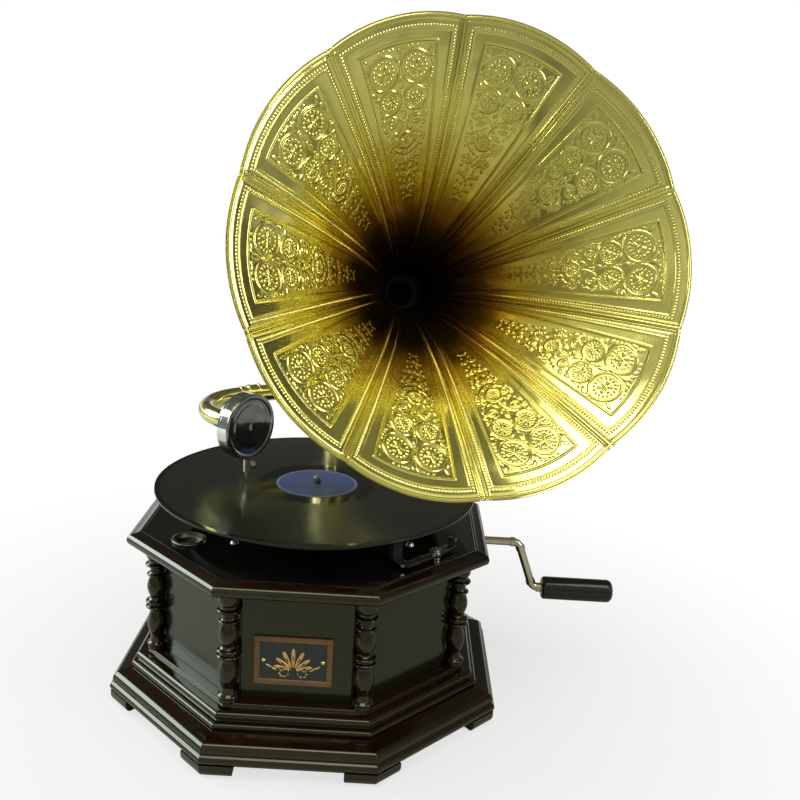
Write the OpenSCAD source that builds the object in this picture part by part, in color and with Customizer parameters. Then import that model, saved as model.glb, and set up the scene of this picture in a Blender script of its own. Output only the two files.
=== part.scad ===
// Wind-up horn record player with an octagonal case.
// Millimetres. X right, Y back, Z up. The origin is on the ground, under the turntable spindle.
$fn = 64;

/* [Case] */
// Height of the feet
foot_h = 12; // [9:1:18]
// Centre to a flat of the plinth, at its lowest edge
plinth_apothem = 182; // [172:1:200]
// Height of the plinth moulding
plinth_h = 25; // [21:1:32]
// Height of the two beads above the plinth
step_h = 11; // [9:1:15]
// Centre to a flat of the stepped moulding
step_apothem = 162; // [158:1:170]
// Thickness of the curb that the columns and panels stand on
curb_h = 3; // [2:0.5:5]
// Centre to a flat of the curb
curb_apothem = 147; // [144:0.5:151]
// Height of the corner columns and wall panels
column_h = 105; // [90:1:140]
// Largest radius of a column
column_r = 10.5; // [9:0.25:12]
// Centre to a column's axis, measured square to the flats
column_apothem = 140; // [138:0.5:142]
// Centre to the outer face of a wall panel
panel_apothem = 137; // [132:0.5:139]
// Thickness of a wall panel
panel_t = 12; // [8:0.5:14]
// Centre to a flat of the top moulding
top_apothem = 165; // [158:1:176]
// Thickness of the shelf that the top board rests on
shelf_t = 3; // [2:0.5:5]
// Thickness of the top board
board_t = 8; // [6:0.5:12]
// Centre to a flat of the top board
board_apothem = 151.5; // [148:0.5:154]
// Thickness of the bottom board
bottom_t = 8; // [6:0.5:12]
// Width and height of the front plaque
plaque_size = [68, 45.5]; // [30:0.5:80]
// Distance of the plaque's middle left of the spindle
plaque_left = 3; // [0:0.5:8]

/* [Turntable] */
// Radius of the record
record_r = 152.4; // [120:0.1:152.4]
// Thickness of the record
record_t = 2; // [1.5:0.1:3]
// Radius of the record's label
label_r = 39.4; // [30:0.1:50]
// Radius of the platter
platter_r = 120; // [100:1:124]
// Depth of the platter's skirt
skirt_h = 14; // [8:1:20]
// Height of the record's underside above the top board
deck_gap = 33; // [26:0.5:45]
// Thickness of the felt
felt_t = 1.6; // [1:0.1:3]
// Radius of the spindle pin that centres the record
pin_r = 3.6; // [3.4:0.05:3.8]
// Radius of the spindle shaft
spindle_r = 4; // [3.9:0.1:4.5]

/* [Tone arm] */
// Distance of the arm's pivot behind the spindle
pivot_y = 170; // [166:1:185]
// Height of the arm tube's axis above the record
arm_rise = 56; // [50:1:70]
// Radius of the arm tube
arm_r = 8.75; // [7:0.25:9.5]
// Wall of the arm tube
arm_wall = 1; // [0.8:0.1:2]
// Direction of the arm at rest, counter-clockwise from +X
arm_az = 215.2; // [200:0.1:225]
// Straight run from the pivot to the gooseneck's bend
arm_run = 112.6; // [95:0.1:125]
// Length of arm tube before the swivel joint
arm_len = 100; // [80:1:104]
// Radius of the gooseneck's bend
neck_r = 59; // [40:1:66]
// Turn of the gooseneck
neck_turn = 110; // [90:1:130]
// Straight length between the bend and the sound box
neck_stub = 22; // [14:1:34]
// Radius of the sound box
box_r = 31.5; // [27:0.5:34]
// Depth of the sound box
box_d = 14; // [12:0.5:18]
// Length of the needle below its chuck
needle_out = 11; // [8:1:15]

/* [Horn] */
// Gap between the arm's collar and the bracket's socket
socket_rise = 0.05; // [0.05:0.05:10]
// Length of the bracket's socket
socket_l = 20; // [18:1:30]
// Outer radius of the elbow pipe
pipe_r = 16; // [14:0.5:17]
// Wall of the elbow pipe
pipe_wall = 1.2; // [0.8:0.1:2]
// Direction in which the elbow leans
elbow_az = 41.5; // [30:0.5:60]
// Angle of the elbow's lower bend
elbow_lean = 59.5; // [45:0.5:70]
// Straight run between the two bends
elbow_mid = 8; // [8:0.5:24]
// Roll from the lower bend to the upper bend
elbow_roll = 243; // [230:0.5:250]
// Angle of the elbow's upper bend
elbow_turn = 101.5; // [90:0.5:115]
// Radius of the lower bend
elbow_r1 = 36; // [30:1:44]
// Radius of the upper bend
elbow_r2 = 40; // [32:1:48]
// Straight end that the horn slips over
elbow_end = 12; // [11:0.5:24]
// Length of the horn from its neck to its mouth
horn_l = 232; // [200:1:300]
// Radius of the mouth at a seam
mouth_r = 207; // [160:1:230]
// How far a petal bulges past the seams
petal_bulge = 3; // [2:0.5:14]
// Number of petals
petals = 10; // [8:1:12]
// Wall of the horn
horn_wall = 1; // [0.8:0.1:1.6]
// Steepness of the flare
flare = 1.8; // [1.5:0.05:2.4]

/* [Crank] */
// Distance of the crank shaft behind the spindle
crank_y = 25; // [15:1:32]
// Depth of the crank shaft below the top moulding
crank_drop = 13; // [13:1:30]
// Radius of the crank rod
rod_r = 4; // [3:0.25:5]
// Where the crank bends down, from the spindle
crank_x = 197; // [190:1:230]
// Reach of the crank's arm, from axis to axis
crank_reach = 48; // [40:1:90]
// How far the arm leans outwards
crank_lean = 18; // [8:1:26]
// Radius of the crank's bends
crank_bend = 9; // [7:1:12]
// Length of the handle
handle_l = 72; // [50:1:90]
// Radius of the handle
handle_r = 11.4; // [9:0.2:14]

/* [Motor] */
// Spindle to barrel axis, to the right
barrel_x = 62; // [60:1:64]
// Outer radius of the spring barrel
barrel_r = 42; // [36:1:43]
// Height of the spring barrel
barrel_h = 36; // [28:1:37]
// Thickness of the motor's two plates
plate_t = 3; // [2:0.5:4]
// Clear height between the two plates
motor_h = 87; // [86:1:92]
// Radius of the motor's pillars
pillar_r = 4; // [3:0.5:5]
// Tooth size of the train
tooth = 1; // [1:0.05:1.05]
// Radius of the governor's balls
ball_r = 5; // [4:0.5:5.5]

/* [Fits] */
// Radial clearance of shafts in their bores
run_fit = 0.05; // [0.02:0.01:0.09]
// Gap between pieces that move past each other
move_gap = 0.3; // [0.3:0.05:0.5]

/* [Hidden] */
side = 45;
half = side / 2;
// Width of the ring that the plinth moulding and the feet are cut from
foot_in = 2;
foot_w = 14;
foot_reach = 26;
board_in = 14;
// Hairline left at each mitre
mitre_a = 0.02;
ledge_z = foot_h + plinth_h + step_h + curb_h;
eave_z = ledge_z + column_h;
board_z = eave_z + shelf_t;
deck_z = board_z + board_t;
record_z = deck_z + deck_gap;
record_top = record_z + record_t;
inner_apothem = panel_apothem - panel_t;
arm_z = record_top + arm_rise;
// The collar near the arm's root stands out this far
arm_collar = 1.2;
socket_z = arm_z + arm_r + arm_collar + socket_rise;
socket_top = socket_z + socket_l;
socket_r = pipe_r + 5;
// Depth of the socket that the arm's tail turns in
bearing_l = 8;
// Depth of the elbow in the socket, and the straight length that shows
elbow_seat = socket_l - bearing_l - move_gap;
elbow_lift = 3;
// Wall left between the arm's tail and the elbow's bore
tail_step = 4;
tail_r = pipe_r - tail_step;
tail_top = socket_z - arm_z + bearing_l + 3;
// Ball at the arm's root, which narrows to the tail
ball_out = tail_r + 0.5;
stem_y = pivot_y + 33;
crank_z = eave_z - crank_drop;
plate_z = board_z - plate_t;
floor_z = plate_z - motor_h;
worm_z = floor_z + 31;
arm_angle = atan2(crank_reach, crank_lean);
// Opening between two pipes under their ring
joint_gap = 0.1;
// Plaque's edge to its pins
plaque_pin_in = 8.5;
// Width of the plaque's raised frame
plaque_rim = 5.5;
// Height of the plaque's middle above the feet
plaque_rise = 77;
pillar_at = [[-66, -74], [92, -56], [76, 76], [-70, 66]];
brake_at = [115, -82];

// Points of an arc about a centre
function arc(cx, cy, r, from, to, n = 6) =
    [for (i = [0:n]) let (a = from + (to - from) * i / n) [cx + r * cos(a), cy + r * sin(a)]];
// A turned swelling between two heights
function swell(r0, r1, z0, z1, n = 6) =
    [for (i = [0:n]) [r0 + (r1 - r0) * sin(180 * i / n), z0 + (z1 - z0) * i / n]];

module octagon(apothem) rotate(half) circle(r = apothem / cos(half), $fn = 8);

// Eight mitred lengths of one profile, given as apothem and height
module mitred_lengths(profile)
    for (i = [0:7]) rotate(half + side * i)
        rotate_extrude(angle = side - mitre_a, $fn = 8)
            polygon([for (p = profile) [p.x / cos(half), p.y]]);

// A hollow pipe along +Z
module pipe(r, wall, l) difference() {
    cylinder(r = r, h = l);
    translate([0, 0, -1]) cylinder(r = r - wall, h = l + 2);
}

// A bend that starts along +Z and turns towards +X
module bend(r, wall, bend_r, angle)
    translate([bend_r, 0, 0]) mirror([1, 0, 0]) rotate([90, 0, 0])
        rotate_extrude(angle = angle) translate([bend_r, 0]) difference() {
            circle(r = r);
            if (wall < r) circle(r = r - wall);
        }

// Soldered ring over the joint between two pipes
module joint_ring(r, wall) difference() {
    translate([0, 0, -2]) cylinder(r = r + 0.7, h = 4);
    if (wall < r) translate([0, 0, -3]) cylinder(r = r - wall / 2, h = 6);
}

// The frame at the end of such a bend
module after_bend(bend_r, angle)
    translate([bend_r * (1 - cos(angle)), 0, bend_r * sin(angle)]) rotate([0, angle, 0]) children();

// Spur gear outline with straight flanks, one tooth on +X
module gear2d(m, teeth, slack = 0.3) {
    pitch = m * teeth / 2;
    tip = pitch + 0.9 * m;
    root = pitch - 1.2 * m;
    w = PI * m / 4 - slack * m / 2;
    tip_a = (w - 0.9 * m * tan(20)) / tip * 180 / PI;
    root_a = (w + 1.2 * m * tan(20)) / root * 180 / PI;
    polygon([for (i = [0:teeth - 1]) let (a = i * 360 / teeth)
        each [for (q = [[root, -root_a], [tip, -tip_a], [tip, tip_a], [root, root_a]])
            [q.x * cos(a + q.y), q.x * sin(a + q.y)]]]);
}

// Countersunk or round-headed screw along -Z, head on top
module screw(shank_r, l, head_r, head_h) {
    translate([0, 0, -l]) cylinder(r = shank_r, h = l, $fn = 24);
    difference() {
        cylinder(r1 = head_r, r2 = head_r * 0.7, h = head_h, $fn = 32);
        translate([-head_r, -head_r * 0.1, head_h * 0.5]) cube([2 * head_r, head_r * 0.2, head_h]);
    }
}

module feet() color("#3a1c10")
    for (i = [0:7]) rotate(half + side * i) linear_extrude(foot_h)
        intersection() {
            rotate(-half) difference() {
                octagon(plinth_apothem - foot_in);
                octagon(plinth_apothem - foot_in - foot_w);
            }
            translate([(plinth_apothem - foot_in - foot_w / 2) / cos(half), 0]) circle(r = foot_reach);
        }

module bottom_board() color("#2a1610")
    translate([0, 0, foot_h]) linear_extrude(bottom_t) octagon(step_apothem - board_in);

// Plinth with two broad beads, the upper one set back, and a sloping top
module plinth_moulding() color("#3a1c10") {
    b = plinth_h * 0.22;
    mitred_lengths(concat(
        [[step_apothem - board_in, foot_h], [plinth_apothem - 0.24 * b, foot_h]],
        arc(plinth_apothem - b, foot_h + b, b, -40, 60, 5),
        [[plinth_apothem - 0.85 * b, foot_h + 0.455 * plinth_h]],
        arc(plinth_apothem - 1.55 * b, foot_h + 0.68 * plinth_h, 0.23 * plinth_h, -60, 90, 7),
        [[step_apothem + 1, foot_h + plinth_h], [step_apothem - board_in, foot_h + plinth_h]]));
}

// Two beads and the curb that the columns stand on
module step_moulding() color("#3a1c10") {
    z = foot_h + plinth_h;
    b = step_h / 4;
    mitred_lengths(concat(
        [[inner_apothem, z], [step_apothem - b, z]],
        arc(step_apothem - b, z + b, b, -90, 90, 4),
        [[step_apothem - 7, z + 2 * b]],
        arc(step_apothem - 7, z + 3 * b, b, -90, 90, 4),
        [[curb_apothem, z + step_h], [curb_apothem, ledge_z], [inner_apothem, ledge_z]]));
}

// Wall panel, hollowed at both ends so that the columns sit in the corners
module panel(i) rotate(side * i) translate([0, 0, ledge_z]) difference() {
    linear_extrude(column_h) polygon([for (p = [[inner_apothem, -1], [panel_apothem, -1],
        [panel_apothem, 1], [inner_apothem, 1]]) [p.x, p.x * p.y * tan(half - mitre_a / 2)]]);
    for (j = [-1, 1]) rotate(j * half) translate([column_apothem / cos(half), 0, -1])
        cylinder(r = column_r + run_fit, h = column_h + 2);
}

module wall_panels() color("#2c150d") difference() {
    for (i = [each [1:5], 7]) panel(i);
    at_bracket_screws() cylinder(r = 2 + run_fit, h = 30, center = true);
}

module front_panel() color("#2c150d") difference() {
    panel(6);
    for (x = [-1, 1]) at_plaque() translate([x * (plaque_size.x / 2 - plaque_pin_in), 0, -4])
        cylinder(r = 1, h = 5);
}

module crank_panel() color("#2c150d") difference() {
    panel(0);
    translate([inner_apothem - 1, crank_y, crank_z]) rotate([0, 90, 0])
        cylinder(r = bush_r + run_fit, h = panel_t + 2);
}

// Turned corner column: foot, swelling, double ring, swelling, two neck rings and cap
module columns() color("#3a1c10") {
    r = column_r;
    h = column_h;
    profile = concat(
        [[0, 0], [r * 0.84, 0], [r * 0.84, 0.025 * h]],
        arc(r * 0.76, 0.045 * h, r * 0.13, -60, 60, 3),
        [[r * 0.64, 0.07 * h], [r * 0.58, 0.11 * h]],
        swell(r * 0.6, r * 0.85, 0.13 * h, 0.36 * h),
        [[r * 0.62, 0.375 * h]],
        swell(r * 0.72, r, 0.385 * h, 0.425 * h, 4),
        swell(r * 0.72, r, 0.435 * h, 0.475 * h, 4),
        [[r * 0.6, 0.49 * h]],
        swell(r * 0.62, r * 0.86, 0.505 * h, 0.685 * h),
        swell(r * 0.66, r * 0.88, 0.695 * h, 0.73 * h, 4),
        [[r * 0.58, 0.745 * h], [r * 0.56, 0.775 * h]],
        swell(r * 0.72, r, 0.785 * h, 0.83 * h, 4),
        [[r * 0.7, 0.85 * h], [r * 0.9, 0.88 * h], [r * 0.95, 0.91 * h], [r * 0.95, h], [0, h]]);
    for (i = [0:7]) rotate(half + side * i) translate([column_apothem / cos(half), 0, ledge_z])
        rotate_extrude($fn = 48) polygon(profile);
}

// Double-beaded moulding with a rabbet that holds the top board
module top_moulding() color("#3a1c10") {
    b1 = (board_z + board_t * 0.3 - eave_z) / 2;
    b2 = (deck_z + 2 - board_z - board_t * 0.3) / 2;
    z2 = eave_z + 2 * b1;
    lip = board_apothem + move_gap;
    mitred_lengths(concat(
        [[inner_apothem, eave_z], [top_apothem - b1, eave_z]],
        arc(top_apothem - b1, eave_z + b1, b1, -90, 90, 5),
        [[top_apothem - 5, z2]],
        arc(top_apothem - 5, z2 + b2 * 0.7, b2 * 0.7, -90, 60, 5),
        [[lip + 3, deck_z + 1]],
        arc(lip + 1.5, deck_z + 0.5, 1.5, 60, 180, 4),
        [[lip, board_z], [inner_apothem, board_z]]));
}

module top_board() color("#15100e") difference() {
    translate([0, 0, board_z]) linear_extrude(board_t) octagon(board_apothem);
    translate([0, 0, board_z - 1]) cylinder(r = spindle_r + 4, h = board_t + 2);
    at_speed_screw() translate([0, 0, board_z - 1]) cylinder(r = 6, h = board_t + 2);
    for (p = pillar_at) translate([p.x, p.y, board_z - 1]) cylinder(r = 2 + run_fit, h = board_t + 2);
    at_cup() translate([0, 0, deck_z - cup_seat]) cylinder(r = cup_r + run_fit, h = cup_seat + 1);
    translate([brake_at.x, brake_at.y, deck_z - 6]) cylinder(r = 1.5, h = 7);
}

module at_plaque() translate([-plaque_left, -panel_apothem, foot_h + plaque_rise])
    rotate([90, 0, 0]) children();

// Plain framed plate, held by two pins
module front_plaque() color("#a5652a") at_plaque() difference() {
    union() {
        translate([-plaque_size.x / 2, -plaque_size.y / 2, 0]) cube([plaque_size.x, plaque_size.y, 1.2]);
        difference() {
            translate([-plaque_size.x / 2, -plaque_size.y / 2, 1.2]) cube([plaque_size.x, plaque_size.y, 1]);
            translate([-plaque_size.x / 2 + plaque_rim, -plaque_size.y / 2 + plaque_rim, 1])
                cube([plaque_size.x - 2 * plaque_rim, plaque_size.y - 2 * plaque_rim, 2]);
        }
    }
    for (x = [-1, 1]) translate([x * (plaque_size.x / 2 - plaque_pin_in), 0, -1]) cylinder(r = 1, h = 5);
}

module plaque_pins() color("#c8a860") at_plaque()
    for (x = [-1, 1]) translate([x * (plaque_size.x / 2 - plaque_pin_in), 0, 1.2]) {
        translate([0, 0, -5]) cylinder(r = 0.95, h = 5);
        intersection() {
            translate([0, 0, -1]) sphere(r = 2.2, $fn = 32);
            translate([0, 0, 1]) cube([6, 6, 2], center = true);
        }
    }

cup_r = 14;
cup_seat = 3;
cup_rim = 1.2;
module at_cup() translate([-107, -74, 0]) children();

// Shallow cup with a rolled rim, let into the top board
module needle_cup() color("#c9c4b8") at_cup() translate([0, 0, deck_z - cup_seat]) {
    top = cup_seat + 2 * cup_rim;
    bowl = cup_r - 1.5;
    rotate_extrude()
        polygon(concat([[0, 0], [cup_r, 0], [cup_r, cup_seat]],
            arc(cup_r + 0.2, cup_seat + cup_rim, cup_rim, -90, 90, 4),
            [[bowl, top]], arc(0, top, bowl, 0, -20, 3), [[cup_r - 6, cup_rim], [0, cup_rim]]));
}

hub_r = 14;

// Pressed platter with a rolled skirt and a hub
module platter() color("#4b4a48") translate([0, 0, record_z - felt_t]) difference() {
    union() {
        rotate_extrude($fn = 128) polygon(concat([[pin_r + 4, -2], [platter_r - 1.5, -2],
            [platter_r - 1.5, -skirt_h], [platter_r, -skirt_h]], arc(platter_r - 1.5, -1.5, 1.5, 0, 90, 4),
            [[pin_r + 4, 0]]));
        translate([0, 0, -skirt_h]) cylinder(r = hub_r, h = skirt_h - 1);
        translate([0, 0, -2]) cylinder(r = hub_r + 6, h = 2);
    }
    translate([0, 0, -skirt_h - 1]) cylinder(r = spindle_r + run_fit, h = skirt_h + 5);
}

module platter_felt() color("#3d5b3a") translate([0, 0, record_z - felt_t]) difference() {
    cylinder(r = platter_r - 2, h = felt_t, $fn = 128);
    translate([0, 0, -1]) cylinder(r = spindle_r + 1, h = felt_t + 2);
}

module record() color("#12110f") translate([0, 0, record_z]) difference() {
    cylinder(r = record_r, h = record_t, $fn = 180);
    translate([0, 0, -1]) cylinder(r = pin_r + run_fit, h = record_t + 2);
}

module record_label() color("#2f4f93") translate([0, 0, record_top]) difference() {
    cylinder(r = label_r, h = 0.2, $fn = 96);
    translate([0, 0, -1]) cylinder(r = pin_r + 0.4, h = 2);
}

// Groove round the pin above the record, and the pin's straight end above it
pin_groove = 1;
pin_free = 4.4;

// Shaft from the thrust bearing up through the platter to the record's pin
module spindle() color("#b9b4a8") {
    translate([0, 0, floor_z - 8]) cylinder(r = spindle_r, h = record_z - felt_t - floor_z + 8);
    translate([0, 0, record_z - felt_t]) cylinder(r = pin_r, h = felt_t + record_t);
    translate([0, 0, record_top]) cylinder(r = pin_r - pin_groove / 2, h = pin_groove);
    translate([0, 0, record_top + pin_groove]) {
        cylinder(r = pin_r, h = pin_free);
        translate([0, 0, pin_free]) intersection() {
            sphere(r = pin_r);
            cylinder(r = pin_r + 1, h = pin_r + 1);
        }
    }
}

// Two gears fixed on the spindle: the driven pinion and the governor's wheel
module spindle_gears() color("#c9a24a") difference() {
    union() {
        translate([0, 0, floor_z + 4]) rotate(lay_a) linear_extrude(8) gear2d(tooth, 12);
        translate([0, 0, floor_z + 12]) cylinder(r = 7.5, h = worm_z - floor_z - 10);
        translate([0, 0, worm_z - 1.5]) rotate(180) linear_extrude(3) worm_wheel2d();
    }
    translate([0, 0, floor_z]) cylinder(r = spindle_r + run_fit, h = 60);
}

worm_teeth = 20;
worm_m = 1.5;
worm_r = 4.5;
worm_x = -(worm_m * worm_teeth / 2 + worm_r);

// Wide-gapped wheel, a gap on +X
module worm_wheel2d() {
    r = worm_m * worm_teeth / 2;
    polygon([for (i = [0:worm_teeth - 1]) let (a = (i + 0.5) * 360 / worm_teeth)
        each [for (q = [[r - 1.4, -3.6], [r + 0.6, -2.4], [r + 0.6, 2.4], [r - 1.4, 3.6]])
            [q.x * cos(a + q.y), q.x * sin(a + q.y)]]]);
}

bracket_w = 48;
bracket_h = 52;
bracket_t = 5;
bracket_z = eave_z - 34;
stem_r = 9;
stem_tip_r = 7.5;

// Cast bracket: foot plate, pipe-like stem and the socket that carries arm and horn
module back_bracket() color("#c39a3d") {
    top_z = socket_z + 7;
    boss_y = panel_apothem + bracket_t + 6;
    low_bend = 20;
    high_bend = 12;
    difference() {
        translate([-bracket_w / 2, panel_apothem, bracket_z - bracket_h / 2])
            cube([bracket_w, bracket_t, bracket_h]);
        at_bracket_screws() cylinder(r = 2.2, h = 20, center = true);
    }
    translate([0, panel_apothem + bracket_t, bracket_z]) rotate([-90, 0, 0]) cylinder(r = stem_r + 4, h = 6);
    translate([0, boss_y, bracket_z]) rotate([-90, 0, 0])
        cylinder(r = stem_r, h = stem_y - low_bend - boss_y);
    translate([0, stem_y - low_bend, bracket_z]) rotate([-90, 90, 0]) mirror([1, 0, 0])
        bend(stem_r, stem_r, low_bend, 90);
    translate([0, stem_y, bracket_z + low_bend])
        cylinder(r1 = stem_r, r2 = stem_tip_r, h = top_z - high_bend - bracket_z - low_bend);
    translate([0, stem_y, top_z - high_bend]) rotate(-90) bend(stem_tip_r, stem_tip_r, high_bend, 90);
    difference() {
        union() {
            translate([0, pivot_y, top_z]) rotate([-90, 0, 0])
                cylinder(r = stem_tip_r, h = stem_y - high_bend - pivot_y);
            translate([0, pivot_y, socket_z]) cylinder(r = socket_r, h = socket_l);
            translate([0, pivot_y, socket_z + 2]) cylinder(r = socket_r + 1.5, h = 3);
            translate([0, pivot_y, socket_top - 4]) cylinder(r = socket_r + 1.5, h = 3);
        }
        translate([0, pivot_y, socket_z - 1]) cylinder(r = tail_r + run_fit, h = socket_l + 2);
        translate([0, pivot_y, socket_z + bearing_l]) cylinder(r = pipe_r + run_fit, h = socket_l);
        at_clamp_screw() translate([0, 0, -1]) cylinder(r = 2.5 + run_fit, h = 12);
    }
}

module at_bracket_screws() for (x = [-1, 1], z = [-1, 1])
    translate([x * (bracket_w / 2 - 7), panel_apothem + bracket_t, bracket_z + z * (bracket_h / 2 - 7)])
        rotate([-90, 0, 0]) children();

module bracket_screws() color("#b9a069") at_bracket_screws() screw(2, 10, 4, 2.4);

module at_clamp_screw() translate([pipe_r + move_gap, pivot_y, socket_top - 7])
    rotate([0, 90, 0]) children();

module horn_clamp_screw() color("#c9c4b8") at_clamp_screw() {
    cylinder(r = 2.5, h = 14);
    translate([0, 0, 9]) linear_extrude(6)
        polygon([for (i = [0:35]) (i % 2 == 0 ? 7.6 : 6.9) * [cos(10 * i), sin(10 * i)]]);
}

module at_arm() translate([0, pivot_y, arm_z]) rotate(arm_az) children();

// Straight brass tube with a ball end and a hollow tail that turns in the bracket
module tone_arm() color("#d8ae42") at_arm() difference() {
    union() {
        rotate([0, 90, 0]) cylinder(r = arm_r, h = arm_len);
        translate([tail_r - 1, 0, 0]) rotate([0, 90, 0]) cylinder(r = arm_r + arm_collar, h = 4);
        rotate_extrude() polygon(concat([[0, -tail_r - 3], [4, -tail_r - 3]],
            arc(0, 0, ball_out, -70, acos(tail_r / ball_out), 10), [[tail_r, tail_top], [0, tail_top]]));
    }
    rotate([0, 90, 0]) cylinder(r = arm_r - arm_wall, h = arm_len + 1);
    translate([0, 0, -2]) cylinder(r = tail_r - 2, h = tail_top + 3);
}

module pivot_ring() color("#c9c4b8") translate([0, pivot_y, socket_z + bearing_l + 0.2]) difference() {
    cylinder(r = pipe_r - 1.5, h = 3);
    translate([0, 0, -1]) cylinder(r = tail_r + run_fit, h = 5);
}

module ferrule() color("#c99a32") at_arm() translate([arm_len - 8, 0, 0]) rotate([0, 90, 0]) difference() {
    union() {
        cylinder(r = arm_r + 1.4, h = 14);
        cylinder(r = arm_r + 2, h = 2.5);
        translate([0, 0, 11.5]) cylinder(r = arm_r + 2, h = 2.5);
    }
    translate([0, 0, -1]) cylinder(r = arm_r + run_fit, h = 16);
}

module at_neck_end() at_arm() translate([arm_run, neck_r, 0]) rotate(neck_turn)
    translate([neck_stub, -neck_r, 0]) rotate([0, 90, 0]) children();

module gooseneck() color("#d8ae42") {
    at_arm() {
        translate([arm_len + move_gap, 0, 0]) rotate([0, 90, 0])
            pipe(arm_r, arm_wall, arm_run - arm_len - move_gap - joint_gap);
        translate([arm_run, 0, 0]) rotate([0, 90, 0]) joint_ring(arm_r, arm_wall);
        translate([arm_run, neck_r, 0]) rotate(-90) rotate_extrude(angle = neck_turn)
            translate([neck_r, 0]) difference() {
                circle(r = arm_r);
                circle(r = arm_r - arm_wall);
            }
    }
    at_neck_end() translate([0, 0, joint_gap - neck_stub]) pipe(arm_r, arm_wall, neck_stub - 1.4);
    at_neck_end() translate([0, 0, -neck_stub]) joint_ring(arm_r, arm_wall);
}

// The sound box faces +Z in its own frame, with the needle towards +X
module sound_box_back() color("#c9c6bf") at_neck_end() difference() {
    union() {
        cylinder(r = box_r, h = 3);
        translate([0, 0, -9]) cylinder(r = arm_r + 4.5, h = 10);
    }
    translate([0, 0, -10]) cylinder(r = arm_r + 2.5, h = 11);
    translate([0, 0, -1]) cylinder(r = arm_r - arm_wall, h = 6);
}

module isolator() color("#2a2623") at_neck_end() translate([0, 0, -10]) difference() {
    cylinder(r = arm_r + 2.45, h = 10.9);
    translate([0, 0, -1]) cylinder(r = arm_r + 0.02, h = 9.9);
    translate([0, 0, -1]) cylinder(r = arm_r - arm_wall, h = 13);
}

module sound_box_ring() color("#c9c6bf") at_neck_end() difference() {
    translate([0, 0, 3]) cylinder(r = box_r, h = box_d - 5.5);
    translate([0, 0, 2]) cylinder(r = box_r - 3.5, h = box_d);
    translate([box_r - 5, -4, 4.9]) cube([10, 8, box_d]);
}

module gaskets() color("#e8e2d0") at_neck_end() for (z = [3, 4.8]) translate([0, 0, z]) difference() {
    cylinder(r = box_r - 3.6, h = 1.4);
    translate([0, 0, -1]) cylinder(r = box_r - 6.5, h = 4);
}

module diaphragm() color("#d9cfa8") at_neck_end() translate([0, 0, 4.45]) cylinder(r = box_r - 3.8, h = 0.3);

module sound_box_cap() color("#d2cfc8") at_neck_end() translate([0, 0, box_d - 2.5])
    rotate_extrude() polygon(concat([[0, 0], [box_r, 0]], arc(box_r - 1.5, 0.8, 1.5, 0, 80, 3),
        [[box_r - 4, 2.2], [box_r - 5, 1.6], [box_r - 9, 1.6], [box_r - 10, 2.3], [0, 2.5]]));

chuck_in = 2;
chuck_r = 3.1;
needle_top = box_r + 3;
module at_needle() at_neck_end() translate([0, 0, 8.2]) rotate([0, 90, 0]) children();

// Bar from the diaphragm's centre to the chuck that holds the needle
module needle_bar() color("#bdb9ae") at_needle() difference() {
    union() {
        translate([-0.9, -1.5, 0]) cube([1.8, 3, box_r - 2]);
        translate([0.9, 0, 1.5]) rotate([0, 90, 0]) cylinder(r = 1.2, h = 2.1);
        translate([0, 0, box_r - chuck_in])
            cylinder(r = chuck_r, h = arm_rise - needle_out - box_r + chuck_in);
    }
    translate([0, 0, needle_top]) cylinder(r = 0.75 + run_fit, h = 40);
    translate([0, 0, arm_rise - needle_out - 5]) rotate([-90, 0, 0]) cylinder(r = 1.5 + run_fit, h = 10);
}

module needle_screw() color("#c9c4b8") at_needle()
    translate([0, 1.1, arm_rise - needle_out - 5]) rotate([-90, 0, 0]) {
        cylinder(r = 1.5, h = 6);
        translate([0, 0, 3]) cylinder(r = 3.2, h = 5);
    }

module needle() color("#8f8c86") at_needle() {
    translate([0, 0, needle_top + 0.2]) cylinder(r = 0.75, h = arm_rise - 6 - needle_top - 0.2);
    translate([0, 0, arm_rise - 6]) cylinder(r1 = 0.75, r2 = 0.1, h = 5.9);
}

module at_elbow() translate([0, pivot_y, socket_top]) rotate(elbow_az) children();

module after_lower_bend() at_elbow() translate([0, 0, elbow_lift])
    after_bend(elbow_r1, elbow_lean) children();

module at_horn() after_lower_bend() translate([0, 0, elbow_mid]) rotate(elbow_roll)
    after_bend(elbow_r2, elbow_turn) translate([0, 0, elbow_end]) children();

// Bent pipe from the bracket's socket to the horn's neck
module horn_elbow() color("#c99a32") {
    at_elbow() {
        translate([0, 0, -elbow_seat]) pipe(pipe_r, pipe_wall, elbow_seat + elbow_lift - joint_gap);
        translate([0, 0, elbow_lift]) joint_ring(pipe_r, pipe_wall);
        translate([0, 0, elbow_lift]) bend(pipe_r, pipe_wall, elbow_r1, elbow_lean);
    }
    after_lower_bend() {
        joint_ring(pipe_r, pipe_wall);
        translate([0, 0, joint_gap]) pipe(pipe_r, pipe_wall, elbow_mid - 2 * joint_gap);
        translate([0, 0, elbow_mid]) {
            joint_ring(pipe_r, pipe_wall);
            rotate(elbow_roll) bend(pipe_r, pipe_wall, elbow_r2, elbow_turn);
        }
    }
    at_horn() translate([0, 0, -elbow_end]) {
        joint_ring(pipe_r, pipe_wall);
        translate([0, 0, joint_gap]) pipe(pipe_r, pipe_wall, elbow_end + 4);
    }
}

neck_in = pipe_r + 2.4;
// Radius of the horn's inner face at a share of its length
function bell(s) = neck_in + (mouth_r - neck_in) * pow(s, flare);
bell_steps = 14;
mouth_s = pow((mouth_r + petal_bulge - neck_in) / (mouth_r - neck_in), 1 / flare);

// Shell between two offsets from the inner face, up to a share of the length
module bell_profile(inside, outside, top)
    polygon(concat(
        [for (i = [0:bell_steps]) let (s = top * i / bell_steps) [bell(s) - inside, s * horn_l]],
        [for (i = [bell_steps:-1:0]) let (s = top * i / bell_steps) [bell(s) + outside, s * horn_l]]));

seam_a = 1.2;
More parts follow.
